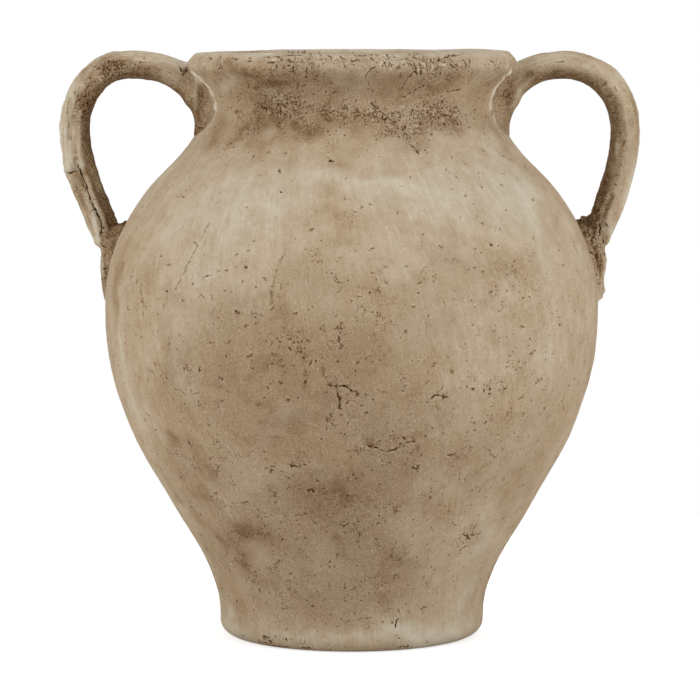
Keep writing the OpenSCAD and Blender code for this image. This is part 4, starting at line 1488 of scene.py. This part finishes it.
class ClayPiece:
    """Faces taken from skins, closed with plain faces, to be made a mesh with the skins' normals."""

    def __init__(self):
        self.places = np.zeros((0, 3))
        self.normals = np.zeros((0, 3))
        self.marks = {name: np.zeros(0) for name in MARK_NAMES}
        self.faces = []
        self.ends = []

    def take(self, mesh, chosen, normals=None):
        """Adds the chosen faces of a skin, and returns the new numbers of its vertices."""
        if normals is None:
            normals = corner_normals(mesh)
        corner, start = face_corners(mesh)
        ends = np.append(start[1:], len(corner))
        picked = [corner[start[i]:ends[i]] for i in np.flatnonzero(chosen)]
        used = np.unique(np.concatenate(picked))
        renumber = np.full(len(mesh.vertices), -1)
        renumber[used] = np.arange(len(used)) + len(self.places)
        self.places = np.concatenate([self.places, corners(mesh)[used]])
        self.normals = np.concatenate([self.normals, normals[used]])
        for name in self.marks:
            self.marks[name] = np.concatenate([self.marks[name], values(mesh, name)[used]])
        self.faces += [renumber[face].tolist() for face in picked]
        return renumber

    def close_rings(self, first, crest, last):
        """Two bands of triangles from one ring to another over a crest ring of bare places."""
        base = len(self.places) + len(self.ends)
        self.ends += [tuple(p) for p in crest]
        middle = list(range(base, base + len(crest)))
        self.band(first, self.places[first], middle, np.array(crest))
        self.band(middle, np.array(crest), last, self.places[last])

    def band(self, first, first_places, second, second_places):
        """Triangles between two rings round the axis, which may have different counts."""
        a = sorted(zip(np.arctan2(first_places[:, 1], first_places[:, 0]).tolist(), first))
        b = sorted(zip(np.arctan2(second_places[:, 1], second_places[:, 0]).tolist(), second))
        a.append((a[0][0] + math.tau, a[0][1]))
        b.append((b[0][0] + math.tau, b[0][1]))
        i = 0
        j = 0
        while i < len(a) - 1 or j < len(b) - 1:
            if j == len(b) - 1 or (i < len(a) - 1 and a[i + 1][0] <= b[j + 1][0]):
                self.faces.append([a[i][1], a[i + 1][1], b[j][1]])
                i += 1
            else:
                self.faces.append([a[i][1], b[j + 1][1], b[j][1]])
                j += 1

    def cap(self, rim_edges):
        """A fan over the cut through a bar, from the middle of its edge."""
        rim = sorted({v for edge in rim_edges for v in edge})
        middle = len(self.places) + len(self.ends)
        self.ends.append(tuple(self.places[rim].mean(axis=0)))
        self.faces += [[a, b, middle] for a, b in rim_edges]

    def closed_mesh(self, name):
        """The mesh with its faces turned outwards, and how many of its edges are open."""
        mesh = bpy.data.meshes.new(name)
        mesh.from_pydata(self.places.tolist() + self.ends, [], self.faces)
        solid = bmesh.new()
        solid.from_mesh(mesh)
        bmesh.ops.recalc_face_normals(solid, faces=solid.faces)
        if solid.calc_volume(signed=True) < 0:
            bmesh.ops.reverse_faces(solid, faces=solid.faces)
        loose = sum(1 for e in solid.edges if not e.is_manifold)
        solid.to_mesh(mesh)
        solid.free()
        return mesh, loose

    def shade(self, mesh):
        """Shades what came from the skins by the skins' normals, and the plain faces flat."""
        mesh.polygons.foreach_set("use_smooth", [True] * len(mesh.polygons))
        corner, start = face_corners(mesh)
        face_of = np.repeat(np.arange(len(start)), np.diff(np.append(start, len(corner))))
        plain = np.maximum.reduceat(corner >= len(self.places), start)
        flat = np.empty(len(mesh.polygons) * 3, np.float32)
        mesh.polygon_normals.foreach_get("vector", flat)
        skin_normals = np.concatenate([self.normals, np.zeros((len(self.ends), 3))])
        split = np.where(plain[face_of][:, None], flat.reshape(-1, 3)[face_of], skin_normals[corner])
        mesh.normals_split_custom_set(split.tolist())

    def made(self, name):
        """The finished object."""
        mesh, loose = self.closed_mesh(name)
        self.shade(mesh)
        for key, marks in self.marks.items():
            store(mesh, key, np.concatenate([marks, np.zeros(len(self.ends))]))
        thing = bpy.data.objects.new(name, mesh)
        bpy.context.scene.collection.objects.link(thing)
        print(name, sum(len(face) - 2 for face in self.faces), "triangles,", loose, "open edges")
        return thing


skins = (outer_skin, inner_skin, *rolled.values())
print("skins to part:", sum(len(face_corners(skin)[1]) for skin in skins), "faces")

# %% Where the skins are cut
ROW_DIGITS = 5
FLOOR_CORNER = 2 * MM
outer_arc = values(outer_skin, "arc")
inner_arc = values(inner_skin, "arc")


def whole_rows(arc, columns):
    """Arcs of the rows that run all the way round a skin."""
    rows, count = np.unique(arc.round(ROW_DIGITS), return_counts=True)
    return rows[count >= columns]


def nearest_row(rows, points, z):
    """The row nearest to a height on an outline."""
    legs = np.linalg.norm(np.diff(points, axis=0), axis=1)
    run = np.concatenate([[0], np.cumsum(legs)])
    at = int(np.argmin(np.abs(points[:, 1] - z)))
    return rows[np.argmin(np.abs(rows - run[at]))]


outer_rows = whole_rows(outer_arc, OUTER_SIZES["Columns"])
inner_rows = whole_rows(inner_arc, INNER_SIZES["Columns"])
outer_cuts = [nearest_row(outer_rows, outer_outline[:rim_index], z) for z in seam_z]
inner_cuts = [nearest_row(inner_rows, inner_outline, z) for z in (inside_z + FLOOR_CORNER, *seam_z[1:-1])]
outer_cuts = [-1.0] + outer_cuts + [outer_arc.max() + 1]
inner_cuts = [inner_arc.max() + 1] + inner_cuts + [-1.0]
print("cuts along the outside:", [round(float(cut) / MM) for cut in outer_cuts[1:-1]], "mm")

# %% Part the wall
SEAM_KEY = 3 * MM
SEAM_CLEAR = 0.5 * MM
CREST_POINTS = 130
ROW_SLACK = 0.02 * MM


def mean_arc(mesh, arc):
    """Mean of the arcs of each face's corners."""
    corner, start = face_corners(mesh)
    return np.add.reduceat(arc[corner], start) / np.diff(np.append(start, len(corner)))


def crest_ring(z):
    """The ridge that keys a seam, midway through the wall."""
    middle = (outer_radius(z - SEAM_CLEAR) + inner_radius(z + SEAM_CLEAR)) / 2
    turns = np.arange(CREST_POINTS) * math.tau / CREST_POINTS
    return [(middle * math.cos(a), middle * math.sin(a), z + SEAM_KEY) for a in turns]


def ring(renumber, arc, at):
    """New numbers of a skin's vertices along one row."""
    row = renumber[np.abs(arc - at) < ROW_SLACK]
    return row[row >= 0].tolist()


outer_face_arc = mean_arc(outer_skin, outer_arc)
inner_face_arc = mean_arc(inner_skin, inner_arc)
wall_pieces = {}
for i, node in enumerate(WALL_NODES):
    piece = ClayPiece()
    is_rim = node == "rim_coil"
    taken = (outer_face_arc > outer_cuts[i]) & (outer_face_arc < outer_cuts[i + 1])
    outer = piece.take(outer_skin, taken)
    if is_rim:
        low_inner = ring(outer, outer_arc, outer_arc.max())
    else:
        taken = (inner_face_arc < inner_cuts[i]) & (inner_face_arc > inner_cuts[i + 1])
        inner = piece.take(inner_skin, taken)
        low_inner = ring(inner, inner_arc, inner_cuts[i])
    if i > 0:
        piece.close_rings(ring(outer, outer_arc, outer_cuts[i]), crest_ring(seam_z[i - 1]), low_inner)
    if not is_rim:
        high_inner = ring(inner, inner_arc, max(inner_cuts[i + 1], inner_arc.min()))
        piece.close_rings(ring(outer, outer_arc, outer_cuts[i + 1]), crest_ring(seam_z[i]), high_inner)
    wall_pieces[node] = piece.made(node + "_clay")


# %% Cut a handle at its roots
UPPER_ROOT_Z = 325 * MM
UPPER_ROOT_ANGLE = math.radians(38)
UPPER_CUT = 17 * MM
UPPER_ZONE_Z = 290 * MM
LOWER_ROOT_Z = 231 * MM
LOWER_ROOT_ANGLE = math.radians(23)
LOWER_CUT = 26 * MM
LOWER_ZONE_Z = 275 * MM
ROOT_REACH = 125 * MM
upper_along = np.array([math.cos(UPPER_ROOT_ANGLE), math.sin(UPPER_ROOT_ANGLE)])
lower_along = np.array([math.sin(LOWER_ROOT_ANGLE), math.cos(LOWER_ROOT_ANGLE)])
upper_cut = np.array([outer_radius(UPPER_ROOT_Z), UPPER_ROOT_Z]) + upper_along * UPPER_CUT
lower_cut = np.array([outer_radius(LOWER_ROOT_Z), LOWER_ROOT_Z]) + lower_along * LOWER_CUT


def root_zone(centres, sign):
    """For each face centre: 1 at the neck root, 2 at the shoulder root, 0 along the bar."""
    out_up = np.stack([sign * centres[:, 0], centres[:, 2]], axis=1)
    at_neck = (out_up[:, 1] > UPPER_ZONE_Z) & (out_up[:, 0] < ROOT_REACH)
    at_neck &= (out_up - upper_cut) @ upper_along < 0
    at_shoulder = (out_up[:, 1] < LOWER_ZONE_Z) & ((out_up - lower_cut) @ lower_along < 0)
    return np.where(at_neck, 1, np.where(at_shoulder, 2, 0))


def cut_roots(mesh, sign):
    """Splits the faces of a handle's skin along the plane at each root."""
    clay = bmesh.new()
    clay.from_mesh(mesh)
    planes = ((upper_cut, upper_along, lambda c: c.z > UPPER_ZONE_Z and sign * c.x < ROOT_REACH),
              (lower_cut, lower_along, lambda c: c.z < LOWER_ZONE_Z))
    for point, along, inside in planes:
        faces = [f for f in clay.faces if inside(f.calc_center_median())]
        around = {e for f in faces for e in f.edges} | {v for f in faces for v in f.verts}
        bmesh.ops.bisect_plane(clay, geom=faces + list(around), dist=SAME_PLACE,
                               plane_co=(sign * point[0], 0, point[1]),
                               plane_no=(sign * along[0], 0, along[1]))
    clay.to_mesh(mesh)
    clay.free()
    mesh.update()


for side, sign in SIDES.items():
    cut_roots(rolled[side], sign)
    print(side, "handle cut at its roots:", len(rolled[side].polygons), "faces")


# %% Part the handles from their pads
SMEAR_PROUD = 1.5 * MM


def open_edges(faces):
    """Edges that only one of the faces has."""
    count = {}
    for face in faces:
        for a, b in zip(face, face[1:] + face[:1]):
            key = (min(a, b), max(a, b))
            count[key] = count.get(key, 0) + 1
    return [edge for edge, n in count.items() if n == 1]


def chains(edges):
    """Groups of edges that hang together."""
    touching = {}
    for edge in edges:
        for v in edge:
            touching.setdefault(v, []).append(edge)
    left = set(edges)
    groups = []
    while left:
        queue = [left.pop()]
        group = []
        while queue:
            edge = queue.pop()
            group.append(edge)
            for v in edge:
                for other in touching[v]:
                    if other in left:
                        left.discard(other)
                        queue.append(other)
        groups.append(group)
    return groups


def smeared_normals(mesh, sign):
    """Normals of a handle's skin that turn into the wall's where the neck pad runs out on it."""
    places = corners(mesh)
    z, proud = from_wall(places, sign)[1:]
    walls = off_wall(places, np.ones(len(places))) - places
    own = np.maximum(step(proud, -SCOOP_DEPTH, SMEAR_PROUD), z < NECK_PAD_Z[0])[:, None]
    mixed = own * corner_normals(mesh) + (1 - own) * walls
    return mixed / np.linalg.norm(mixed, axis=1)[:, None]


handle_pieces = {}
for side, sign in SIDES.items():
    soft_normals = smeared_normals(rolled[side], sign)
    flat = np.empty(len(rolled[side].polygons) * 3, np.float32)
    rolled[side].polygons.foreach_get("center", flat)
    zone = root_zone(flat.reshape(-1, 3), sign)
    for number, node in enumerate((f"{side}_handle", f"{side}_neck_pad", f"{side}_shoulder_pad")):
        piece = ClayPiece()
        piece.take(rolled[side], zone == number, soft_normals)
        for group in chains(open_edges(piece.faces)):
            piece.cap(group)
        handle_pieces[node] = piece.made(node + "_clay")


# %% [markdown]
# ## The clay finish
# Matte fired clay has no gloss to speak of. Its look comes from tone at every scale: slow clouds,
# blotches, brushed streaks that spiral with the wheel, sandy grain and burnt-out specks. All of them
# add up to one tone, and a ramp turns the tone into the clay's own run of colours, dark to pale.

# %% Noise and named layers
# Size, detail and roughness of each noise; the moved ones are looked up in another place
NOISES = {"cloud": (55 * MM, 4.0, 0.6), "mottle": (13 * MM, 8.0, 0.7), "grain": (1.0 * MM, 3.0, 0.8)}
MOVED_NOISES = {
    "crust": (3.2 * MM, 5.0, 0.78), "cluster": (11 * MM, 2.0, 0.6), "clot": (20 * MM, 8.0, 0.66),
}
ELSEWHERE = (7, 3, 5)


def noise_of(tree, place, size, detail, roughness=0.6):
    """Noise about as large as a size in metres, centred on zero."""
    made = put(tree, "ShaderNodeTexNoise", {
        "Vector": place, "Scale": 1 / size, "Detail": detail, "Roughness": roughness,
    }).outputs["Fac"]
    return calc(tree, "SUBTRACT", made, 0.5)


def attribute(tree, name):
    """A number that is kept on the points of the mesh."""
    return put(tree, "ShaderNodeAttribute", attribute_name=name).outputs["Fac"]


def total(tree, layers, weights):
    """Sum of named layers, each times its weight."""
    result = 0.0
    for name, weight in weights.items():
        result = calc(tree, "MULTIPLY_ADD", layers[name], weight, result)
    return result


print("noises:", ", ".join((*NOISES, *MOVED_NOISES)))

# %% Specks and crackle
# Spacing of the cells, how rare a speck is among them, and how far a speck reaches in its cell
SPECKS = (2.0 * MM, 0.93, 0.25)
POCKS = (4.6 * MM, 0.9, 0.17)
FLECKS = (2.6 * MM, 0.87, 0.18)
SPECK_WARP_SIZE = 0.3
SPECK_WARP = 0.75
SPECK_EDGE = (-0.02, 0.06)
# Size of the cells, and width of a crack between them
CRAZING = (2.6 * MM, 0.34 * MM)
HAIRLINES = (7 * MM, 0.3 * MM)
CRACKLE_WANDER = 0.9
CRACKLE_CORE = 0.3
CRACKLE_GAPS = 0.8
CRACKLE_GAP_EDGE = (0.0, 0.08)


def specks(tree, place, spacing, rarity, reach, more):
    """1 on scattered specks: a share of the cells of a Voronoi pattern, each with its own size."""
    warped = noise_of(tree, place, SPECK_WARP_SIZE * spacing, 2.0)
    cells = put(tree, "ShaderNodeTexVoronoi", {"Vector": place, "Scale": 1 / spacing})
    chosen = put(tree, "ShaderNodeSeparateColor", {0: cells.outputs["Color"]}).outputs[0]
    limit = ease(tree, calc(tree, "ADD", chosen, more), rarity, 1.0, 0.0, reach)
    ragged = calc(tree, "MULTIPLY_ADD", warped, SPECK_WARP, cells.outputs["Distance"])
    return ease(tree, calc(tree, "SUBTRACT", limit, ragged), *SPECK_EDGE)


def crackle(tree, place, size, width):
    """1 on thin broken cracks: some of the edges between the cells of a warped Voronoi pattern."""
    wander = put(tree, "ShaderNodeTexNoise",
                 {"Vector": place, "Scale": CRACKLE_WANDER / size, "Detail": 3.0})
    warped = vectors(tree, "MULTIPLY_ADD", wander.outputs["Color"], (size, size, size), place)
    cells = put(tree, "ShaderNodeTexVoronoi", {"Vector": warped, "Scale": 1 / size},
                feature="DISTANCE_TO_EDGE")
    edge = ease(tree, cells.outputs["Distance"], CRACKLE_CORE * width / size, width / size, 1.0, 0.0)
    kept = ease(tree, noise_of(tree, place, CRACKLE_GAPS * size, 1.0), *CRACKLE_GAP_EDGE)
    return calc(tree, "MULTIPLY", edge, kept)


print("specks every", [round(kind[0] / MM, 1) for kind in (SPECKS, POCKS, FLECKS)], "mm")

# %% Brush strokes
BRUSHES = ((42, 4.0), (150, 3.0))
BRUSH_ROUGHNESS = 0.7
BRUSH_TWIST = 1.6
BRUSH_CLIMB = 0.9
NECK_SLANT = 0.3
NECK_FINENESS = 5.0
NECK_STRETCH = (0.28, 0.28, 0.28)
NECK_BRUSH_Z = (NECK_FOOT_Z - 12 * MM, NECK_FOOT_Z + 8 * MM)
BAR_STREAKS = (0.25, 0.35)


def wall_streaks(tree, place):
    """Broad and fine brush strokes, which climb the wall and run round the neck."""
    parts = put(tree, "ShaderNodeSeparateXYZ", {0: place}).outputs
    heading = vectors(tree, "NORMALIZE", joined(tree, X=parts["X"], Y=parts["Y"]))
    leaning = put(tree, "ShaderNodeVectorRotate", {
        "Vector": heading, "Angle": calc(tree, "MULTIPLY", parts["Z"], BRUSH_TWIST),
    }, rotation_type="Z_AXIS").outputs[0]
    climbing = joined(tree, Z=calc(tree, "MULTIPLY", parts["Z"], BRUSH_CLIMB))
    brushed = vectors(tree, "ADD", leaning, climbing)
    slope = calc(tree, "MULTIPLY_ADD", parts["X"], NECK_SLANT, parts["Z"])
    level = joined(tree, Z=calc(tree, "MULTIPLY", slope, NECK_FINENESS))
    rubbed = vectors(tree, "MULTIPLY_ADD", heading, NECK_STRETCH, level)
    on_neck = ease(tree, parts["Z"], *NECK_BRUSH_Z)
    both = []
    for strokes, detail in BRUSHES:
        up = noise_of(tree, brushed, 1 / strokes, detail, BRUSH_ROUGHNESS)
        along = noise_of(tree, rubbed, 1 / strokes, detail, BRUSH_ROUGHNESS)
        both.append(put(tree, "ShaderNodeMix", {0: on_neck, 2: up, 3: along}).outputs[0])
    return both


def bar_streaks(tree, place):
    """Broad and fine strokes along a bar, which were drawn out on its points."""
    drawn = attribute(tree, "streak")
    return [calc(tree, "MULTIPLY", drawn, share) for share in BAR_STREAKS]


print("strokes round the neck start at", round(NECK_BRUSH_Z[0] / MM), "mm")

# %% Layers of the finish
CROWD = {"cluster": 1.1, "rough": 0.85, "wash_and_shade": 0.05, "pale": -0.35}
SANDED = {"rough": 0.2, "wash_and_shade": 0.2, "pale": -0.3}
FLAKY = {"wash_and_shade": 0.6, "rough": 0.5, "pale": -0.3, "cluster": 0.5}
LEAST_FLAKY = 0.05
FLAKE_EDGE = (0.07, 0.2)
SCALY = {"rough": 1.0, "cluster": 1.2}
SCALY_EDGE = (0.32, 0.72)
SPARSE = {"cluster": 1.0, "wash_and_shade": 0.15, "pale": -0.3}
SPARSE_EDGE = (0.06, 0.16)
HAIRLINE_SHARE = 0.7
BLOTCH_EDGE = (-0.02, 0.1)


def clay_layers(tree, streaks):
    """The layers of the finish by name: stains, noises, strokes, and all that comes in grains."""
    place = put(tree, "ShaderNodeTexCoord").outputs["Object"]
    elsewhere = put(tree, "ShaderNodeMapping", {0: place, 1: ELSEWHERE}).outputs[0]
    layers = {name: attribute(tree, name) for name in ("wash_and_shade", "pale", "crack_and_shade", "burr_and_highlight", "rough")}
    for name, kind in NOISES.items():
        layers[name] = noise_of(tree, place, *kind)
    for name, kind in MOVED_NOISES.items():
        layers[name] = noise_of(tree, elsewhere, *kind)
    layers["blotch"] = ease(tree, layers["clot"], *BLOTCH_EDGE)
    layers["streak"], layers["hair"] = streaks(tree, place)
    crowd = total(tree, layers, CROWD)
    layers["speck"] = specks(tree, place, *SPECKS, crowd)
    layers["pock"] = specks(tree, elsewhere, *POCKS, crowd)
    layers["fleck"] = specks(tree, elsewhere, *FLECKS, total(tree, layers, SANDED))
    flaky = calc(tree, "MAXIMUM", total(tree, layers, FLAKY), LEAST_FLAKY)
    layers["flake"] = calc(tree, "MULTIPLY", ease(tree, layers["crust"], *FLAKE_EDGE), flaky)
    scaly = ease(tree, total(tree, layers, SCALY), *SCALY_EDGE)
    crazed = calc(tree, "MULTIPLY", crackle(tree, place, *CRAZING), scaly)
    sparse = ease(tree, total(tree, layers, SPARSE), *SPARSE_EDGE)
    hairline = calc(tree, "MULTIPLY", crackle(tree, elsewhere, *HAIRLINES), sparse)
    layers["split"] = calc(tree, "MAXIMUM", crazed, calc(tree, "MULTIPLY", hairline, HAIRLINE_SHARE))
    return layers


print("specks crowd by", CROWD)

# %% Tone of the clay
COARSE = {"wash_and_shade": 0.7, "rough": 0.8, "pale": -0.45, "cluster": 0.8}
COARSE_BASE = 0.6
LEAST_COARSE = 0.3
SANDY = {"grain": 0.66, "crust": 0.36, "hair": 0.26}
RAGGED = {"mottle": 1.9, "crust": 1.4, "streak": 0.9, "hair": 1.0, "blotch": 0.2}
RAGGED_BASE = 0.9
MOTTLE_TONE = 0.36
# The pale layers add worn clay and painted highlights; the broken layer darkens by earth stain and
# painted shade
TONES = {
    "cloud": 0.12, "sandy": 1.0, "streak": 0.2, "hair": 0.11, "broken": -0.46, "blotch": -0.04,
    "pale": 0.26, "burr_and_highlight": 0.36, "speck": -0.36, "fleck": 0.24, "flake": 0.28,
}


def clay_level(tree, layers, tone, contrast):
    """How pale the clay is, from 0 to 1: a middle tone and what every layer adds to it."""
    coarse = calc(tree, "ADD", total(tree, layers, COARSE), COARSE_BASE)
    coarse = calc(tree, "MULTIPLY", calc(tree, "MAXIMUM", coarse, LEAST_COARSE), contrast)
    ragged = calc(tree, "ADD", total(tree, layers, RAGGED), RAGGED_BASE)
    mixed = {
        **layers,
        "sandy": calc(tree, "MULTIPLY", coarse, total(tree, layers, SANDY)),
        "broken": calc(tree, "MULTIPLY", layers["wash_and_shade"], ragged),
    }
    level = total(tree, mixed, {**TONES, "mottle": MOTTLE_TONE * contrast})
    return calc(tree, "ADD", level, tone)


print("tone: darkened by", [name for name in TONES if TONES[name] < 0])

# %% Colour of the clay
CLAY_RAMP = (
    (0.00, (70, 48, 28)),
    (0.22, (117, 93, 67)),
    (0.45, (154, 134, 108)),
    (0.62, (173, 156, 132)),
    (0.80, (190, 176, 156)),
    (1.00, (208, 199, 182)),
)
CRACK_COLOUR = (66, 32, 5)
PINKISH = (1.01, 0.995, 0.975, 1.0)
GREYISH = (0.99, 1.03, 1.07, 1.0)
EARTHY = (1.05, 0.93, 0.74, 1.0)
GREYNESS = {"cloud": 0.9, "streak": 0.9, "pale": 1.3}
GREY_EDGE = (-0.25, 0.65)
POCK_DARK = 0.7
SPLIT_DARK = 0.85


def linear(colour):
    """A screen colour of 0 to 255 as the linear colour that shaders use."""
    parts = [v / 255 for v in colour]
    return (*[v / 12.92 if v < 0.04045 else ((v + 0.055) / 1.055) ** 2.4 for v in parts], 1.0)


def blended(tree, share, first, second, kind="MIX"):
    """Blend of two colours."""
    return put(tree, "ShaderNodeMix", {0: share, 6: first, 7: second},
               data_type="RGBA", blend_type=kind).outputs[2]


def clay_colour(tree, layers, level):
    """Colour of a tone: greyer where it is pale from wear and from painted highlights, dark brown in
    cracks and in painted shade, earthy on specks.
    """
    ramp = put(tree, "ShaderNodeValToRGB", {0: level})
    stops = ramp.color_ramp.elements
    while len(stops) < len(CLAY_RAMP):
        stops.new(0.5)
    for stop, (at, colour) in zip(stops, CLAY_RAMP):
        stop.position = at
        stop.color = linear(colour)
    greyness = ease(tree, total(tree, layers, GREYNESS), *GREY_EDGE)
    tint = blended(tree, greyness, PINKISH, GREYISH)
    tinted = blended(tree, 1.0, ramp.outputs[0], tint, "MULTIPLY")
    pitted = calc(tree, "MAXIMUM", layers["crack_and_shade"], calc(tree, "MULTIPLY", layers["pock"], POCK_DARK))
    pitted = calc(tree, "MAXIMUM", pitted, calc(tree, "MULTIPLY", layers["split"], SPLIT_DARK))
    darkened = blended(tree, pitted, tinted, linear(CRACK_COLOUR))
    return blended(tree, calc(tree, "MAXIMUM", pitted, layers["speck"]), darkened, EARTHY, "MULTIPLY")


print("ramp from", CLAY_RAMP[0][1], "to", CLAY_RAMP[-1][1])

# %% Clay finish
RELIEF = {
    "mottle": 1.0, "crust": 0.9, "grain": 0.8, "hair": 0.7, "speck": -0.5, "pock": -1.0, "split": -1.2,
}
BUMP_STRENGTH = 0.6
BUMP_HEIGHT = 0.7 * MM
DRYNESS = 0.9
DRYNESS_MOTTLE = 0.15
SHEEN = 0.05


def clay_finish(name, tone, contrast, streaks):
    """Matte weathered clay of a middle tone."""
    made = bpy.data.materials.new(name)
    made.use_nodes = True
    tree = made.node_tree
    layers = clay_layers(tree, streaks)
    colour = clay_colour(tree, layers, clay_level(tree, layers, tone, contrast))
    dryness = calc(tree, "MULTIPLY_ADD", layers["mottle"], DRYNESS_MOTTLE, DRYNESS)
    bump = put(tree, "ShaderNodeBump", {
        "Height": total(tree, layers, RELIEF), "Strength": BUMP_STRENGTH, "Distance": BUMP_HEIGHT,
    })
    shader = tree.nodes["Principled BSDF"].inputs
    tree.links.new(colour, shader["Base Color"])
    tree.links.new(dryness, shader["Roughness"])
    tree.links.new(bump.outputs[0], shader["Normal"])
    shader["Specular IOR Level"].default_value = SHEEN
    print(name, "has", len(tree.nodes), "nodes")
    return made


wall_clay = clay_finish("weathered clay wall", tone=0.562, contrast=1.0, streaks=wall_streaks)
handle_clay = clay_finish("weathered clay handle", tone=0.578, contrast=1.45, streaks=bar_streaks)

# %% [markdown]
# ## Dressing the frame
# Nothing on a fired jar moves, so every piece rides on the one body. Each takes the place of the plain
# solid that it was measured on.

# %% Dress the pieces
for node, piece in {**wall_pieces, **handle_pieces}.items():
    piece.data.materials.append(wall_clay if node in wall_pieces else handle_clay)
    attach(piece, "root")
    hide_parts(node)
print("dressed", len(wall_pieces) + len(handle_pieces), "pieces")

# %% [markdown]
# ## The studio
# The photograph was taken on white paper between large soft lamps, and the paper fades to pure white.
# A curved backdrop would do too, but would show from behind. So a flat floor glows a little, just
# enough to look white, fades to white away from the jar, and still takes its contact shadow.

# %% Floor
FLOOR_HALF = 6.0
FLOOR_FADE = (0.2, 0.6)
PAPER_MATTE = 0.7
PAPER_GLOW = 0.62
PAPER_BOUNCE = 0.9


def grey(value):
    """A neutral colour."""
    return (value, value, value, 1.0)


def seen_directly(tree):
    """1 for what is looked at directly, in a reflection or through glass."""
    path = put(tree, "ShaderNodeLightPath").outputs
    seen = calc(tree, "MAXIMUM", path["Is Camera Ray"], path["Is Glossy Ray"])
    return calc(tree, "MAXIMUM", seen, path["Is Transmission Ray"])


def white_paper():
    """Paper that is lit and glows near the jar, is pure white further away, and bounces light."""
    made = bpy.data.materials.new("white paper")
    made.use_nodes = True
    tree = made.node_tree
    tree.nodes.clear()
    place = put(tree, "ShaderNodeTexCoord").outputs["Object"]
    away = put(tree, "ShaderNodeVectorMath", {0: place}, operation="LENGTH").outputs["Value"]
    matte = put(tree, "ShaderNodeBsdfDiffuse", {"Color": grey(PAPER_MATTE)})
    glow = put(tree, "ShaderNodeEmission", {"Color": grey(PAPER_GLOW), "Strength": 1.0})
    lit = put(tree, "ShaderNodeAddShader", {0: matte.outputs[0], 1: glow.outputs[0]})
    white = put(tree, "ShaderNodeEmission", {"Color": grey(1.0), "Strength": 1.0})
    faded = ease(tree, away, *FLOOR_FADE)
    ground = put(tree, "ShaderNodeMixShader", {0: faded, 1: lit.outputs[0], 2: white.outputs[0]})
    bounce = put(tree, "ShaderNodeBsdfDiffuse", {"Color": grey(PAPER_BOUNCE)})
    both = put(tree, "ShaderNodeMixShader",
               {0: seen_directly(tree), 1: bounce.outputs[0], 2: ground.outputs[0]})
    tree.links.new(both.outputs[0], put(tree, "ShaderNodeOutputMaterial").inputs["Surface"])
    return made


floor_mesh = bpy.data.meshes.new("floor")
floor_corners = [(x * FLOOR_HALF, y * FLOOR_HALF, 0) for x, y in ((-1, -1), (1, -1), (1, 1), (-1, 1))]
floor_mesh.from_pydata(floor_corners, [], [(0, 1, 2, 3)])
floor_mesh.materials.append(white_paper())
floor = bpy.data.objects.new("floor", floor_mesh)
bpy.context.scene.collection.objects.link(floor)
floor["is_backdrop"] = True
print("floor:", 2 * FLOOR_HALF, "m wide")

# %% World
AMBIENT = 0.30
world = bpy.data.worlds.new("studio")
world.use_nodes = True
bpy.context.scene.world = world
tree = world.node_tree
tree.nodes.clear()
white = put(tree, "ShaderNodeBackground", {"Color": grey(1.0), "Strength": 1.0})
ambient = put(tree, "ShaderNodeBackground", {"Color": grey(1.0), "Strength": AMBIENT})
sky = put(tree, "ShaderNodeMixShader",
          {0: seen_directly(tree), 1: ambient.outputs[0], 2: white.outputs[0]})
tree.links.new(sky.outputs[0], put(tree, "ShaderNodeOutputWorld").inputs["Surface"])
bpy.context.scene.view_settings.view_transform = "Standard"
print("world: ambient light", AMBIENT)

# %% Light
# Place in metres, width in metres and power in watts of each lamp
SOFTBOXES = {
    "left softbox": ((-1.8, -1.1, 0.9), 1.3, 31),
    "right softbox": ((1.8, -1.1, 0.9), 1.3, 31),
    "top softbox": ((0, -0.3, 2.0), 1.4, 13),
    "back softbox": ((0, 1.9, 1.0), 1.2, 14),
}
LAMP_AIM = Vector((0, 0, 0.18))
for name, (at, size, watts) in SOFTBOXES.items():
    lamp = bpy.data.lights.new(name, "AREA")
    lamp.shape = "SQUARE"
    lamp.size = size
    lamp.energy = watts
    softbox = bpy.data.objects.new(name, lamp)
    softbox.location = at
    softbox.rotation_mode = "QUATERNION"
    softbox.rotation_quaternion = (LAMP_AIM - Vector(at)).to_track_quat("-Z", "Y")
    bpy.context.scene.collection.objects.link(softbox)
print("lamps:", ", ".join(SOFTBOXES))

# %% [markdown]
# ## Sizes
# Dressing must not make the jar bigger. The box of the dressed jar is measured now and printed.

# %% Sizes
visual_low, visual_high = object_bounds()
print("dressed:", [round(v / MM, 1) for v in (visual_high - visual_low)], "mm")
